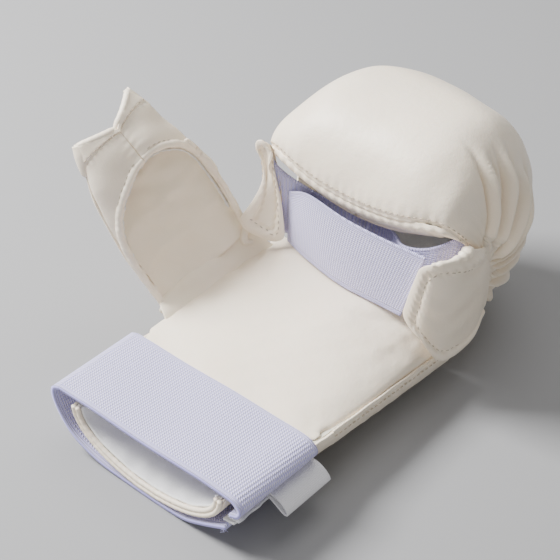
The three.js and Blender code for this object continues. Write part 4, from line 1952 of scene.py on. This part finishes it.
    def stitches(self, surface: Surface, name: str, v: float, out: float) -> None:
        """Builds a row of stitches across a panel.

        Args:
            surface: The panel's face.
            name: The row's name.
            v: The share of the panel's height where the row lies.
            out: 1 or -1 for the outward side of the face's normals.
        """
        shares = np.linspace(0.06, 0.93, 50)
        flat = np.full_like(shares, v)
        line = Path(surface(shares, flat))
        outward = read_along(normals_of(surface, shares, flat) * out)
        dress(Seam(name, line, self.finishes.thread, outward).make(), Slot.LEATHER, Body.THUMB)

    def build_web(self) -> None:
        """Builds the soft web that carries the inner panel down to the edge of the hand pad."""
        low = Path([(-50.0, -62.5, 27.5), (-50.5, -45, 29.0), (-50.5, -25, 30.5), (-50.0, -6, 31.5),
                    (-46.5, 9, 36.0)])
        mid = Path([(-57.6, -60.5, 32.2), (-58.6, -44, 34.6), (-59.0, -25, 37.0), (-58.8, -8, 39.6),
                    (-56.0, 4.0, 43.0)])
        shares = np.linspace(0.985, 0.015, 60)
        high = Path(self.back(6.2)(shares, np.full_like(shares, 0.05)))
        base = ruled([low, mid, high])

        def height(u: Array, v: Array) -> Array:
            """Creases that run out of the fold."""
            slant = np.sin(u * 17 + v * 2.5) * np.sin(u * 5 + 1)
            return (0.7 * slant + 0.4 * np.sin(v * 7 + u * 9)) * bump(0.5, 0.32, v)

        piece = Cut("thumb_web_skin", lifted(base, height), Grid(130, 60, 60, 16), 1.3,
                    self.finishes.inner, (-80, -30, 20), centred=True).make()
        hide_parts("thumb_web")
        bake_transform(piece)

    def build(self) -> None:
        """Builds the whole thumb."""
        self.build_back()
        self.build_front(-1, "palm", "thumb_front_panel_palm", "thumb_edge_roll_palm")
        self.build_front(1, "wrist", "thumb_front_panel_wrist", "thumb_edge_roll_wrist")
        self.build_tip()
        self.build_web()


# Studio -----------------------------------------------------------------------------------------


@dataclass
class Studio:
    """The camera, the floor and the soft lights."""

    focal: float = 98.67
    floor_reach: float = 6.0
    floor_drop: float = 0.0004

    def camera(self) -> None:
        """Places the camera."""
        data = bpy.data.cameras.new("camera")
        data.lens, data.sensor_width, data.clip_start = self.focal, 36.0, 0.01
        camera = bpy.data.objects.new("camera", data)
        turn = Matrix(((0.7514, -0.4064, 0.52), (0.6598, 0.4629, -0.592), (0.0, 0.788, 0.616)))
        place = Matrix.Translation((0.3554, -0.4459, 0.4899))
        camera.matrix_world = place @ turn.to_quaternion().to_matrix().to_4x4()
        bpy.context.scene.collection.objects.link(camera)
        bpy.context.scene.camera = camera

    def floor(self) -> None:
        """Lays the plain pale floor."""
        bench = NodeBench("floor_paint")
        bench.shader.inputs["Base Color"].default_value = (0.30, 0.30, 0.305, 1)
        bench.shader.inputs["Roughness"].default_value = 0.9
        mesh = bmesh.new()
        bmesh.ops.create_grid(mesh, x_segments=2, y_segments=2, size=self.floor_reach)
        floor = make_piece("floor", mesh, bench.material)
        floor.location.z = -self.floor_drop

    def light(self, name: str, place: Sequence[float], size: float, watts: float) -> None:
        """Hangs one soft square light that faces the mitt.

        Args:
            name: Its name.
            place: Where it hangs, in metres.
            size: The length of its side in metres.
            watts: Its power.
        """
        data = bpy.data.lights.new(name, "AREA")
        data.size, data.energy = size, watts
        lamp = bpy.data.objects.new(name, data)
        lamp.location = place
        towards = Vector((0, 0, 0.05)) - Vector(place)
        lamp.rotation_euler = towards.to_track_quat("-Z", "Y").to_euler()
        bpy.context.scene.collection.objects.link(lamp)

    def build(self) -> None:
        """Sets the whole studio."""
        self.camera()
        self.floor()
        self.light("key", (-0.85, -0.35, 0.95), 0.5, 50.0)
        self.light("fill", (0.5, -1.5, 0.9), 1.2, 6.0)
        self.light("top", (-0.1, 0.5, 1.5), 1.0, 8.0)
        world = bpy.data.worlds.new("sky")
        world.use_nodes = True
        world.node_tree.nodes["Background"].inputs[0].default_value = (1, 1, 1, 1)
        world.node_tree.nodes["Background"].inputs[1].default_value = 0.34
        bpy.context.scene.world = world


def dress_hidden_foam(finishes: Wardrobe) -> None:
    """Gives the hidden foam solids their foam finish."""
    for node in ("hand_foam_core", "cuff_padding"):
        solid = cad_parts[node]
        solid.data.materials.clear()
        solid.data.materials.append(finishes.foam)


def main() -> None:
    """Builds the mitt, one sub-assembly after another."""
    logging.basicConfig(level=logging.INFO, format="%(name)s: %(message)s")
    finishes = Wardrobe()
    Studio().build()
    HandPad(finishes).build()
    FistPad(finishes).build()
    SideTabs(finishes).build()
    FingerElastics(finishes).build()
    Wrist(finishes).build()
    Thumb(finishes).build()
    dress_hidden_foam(finishes)


if __name__ == "__main__":
    main()
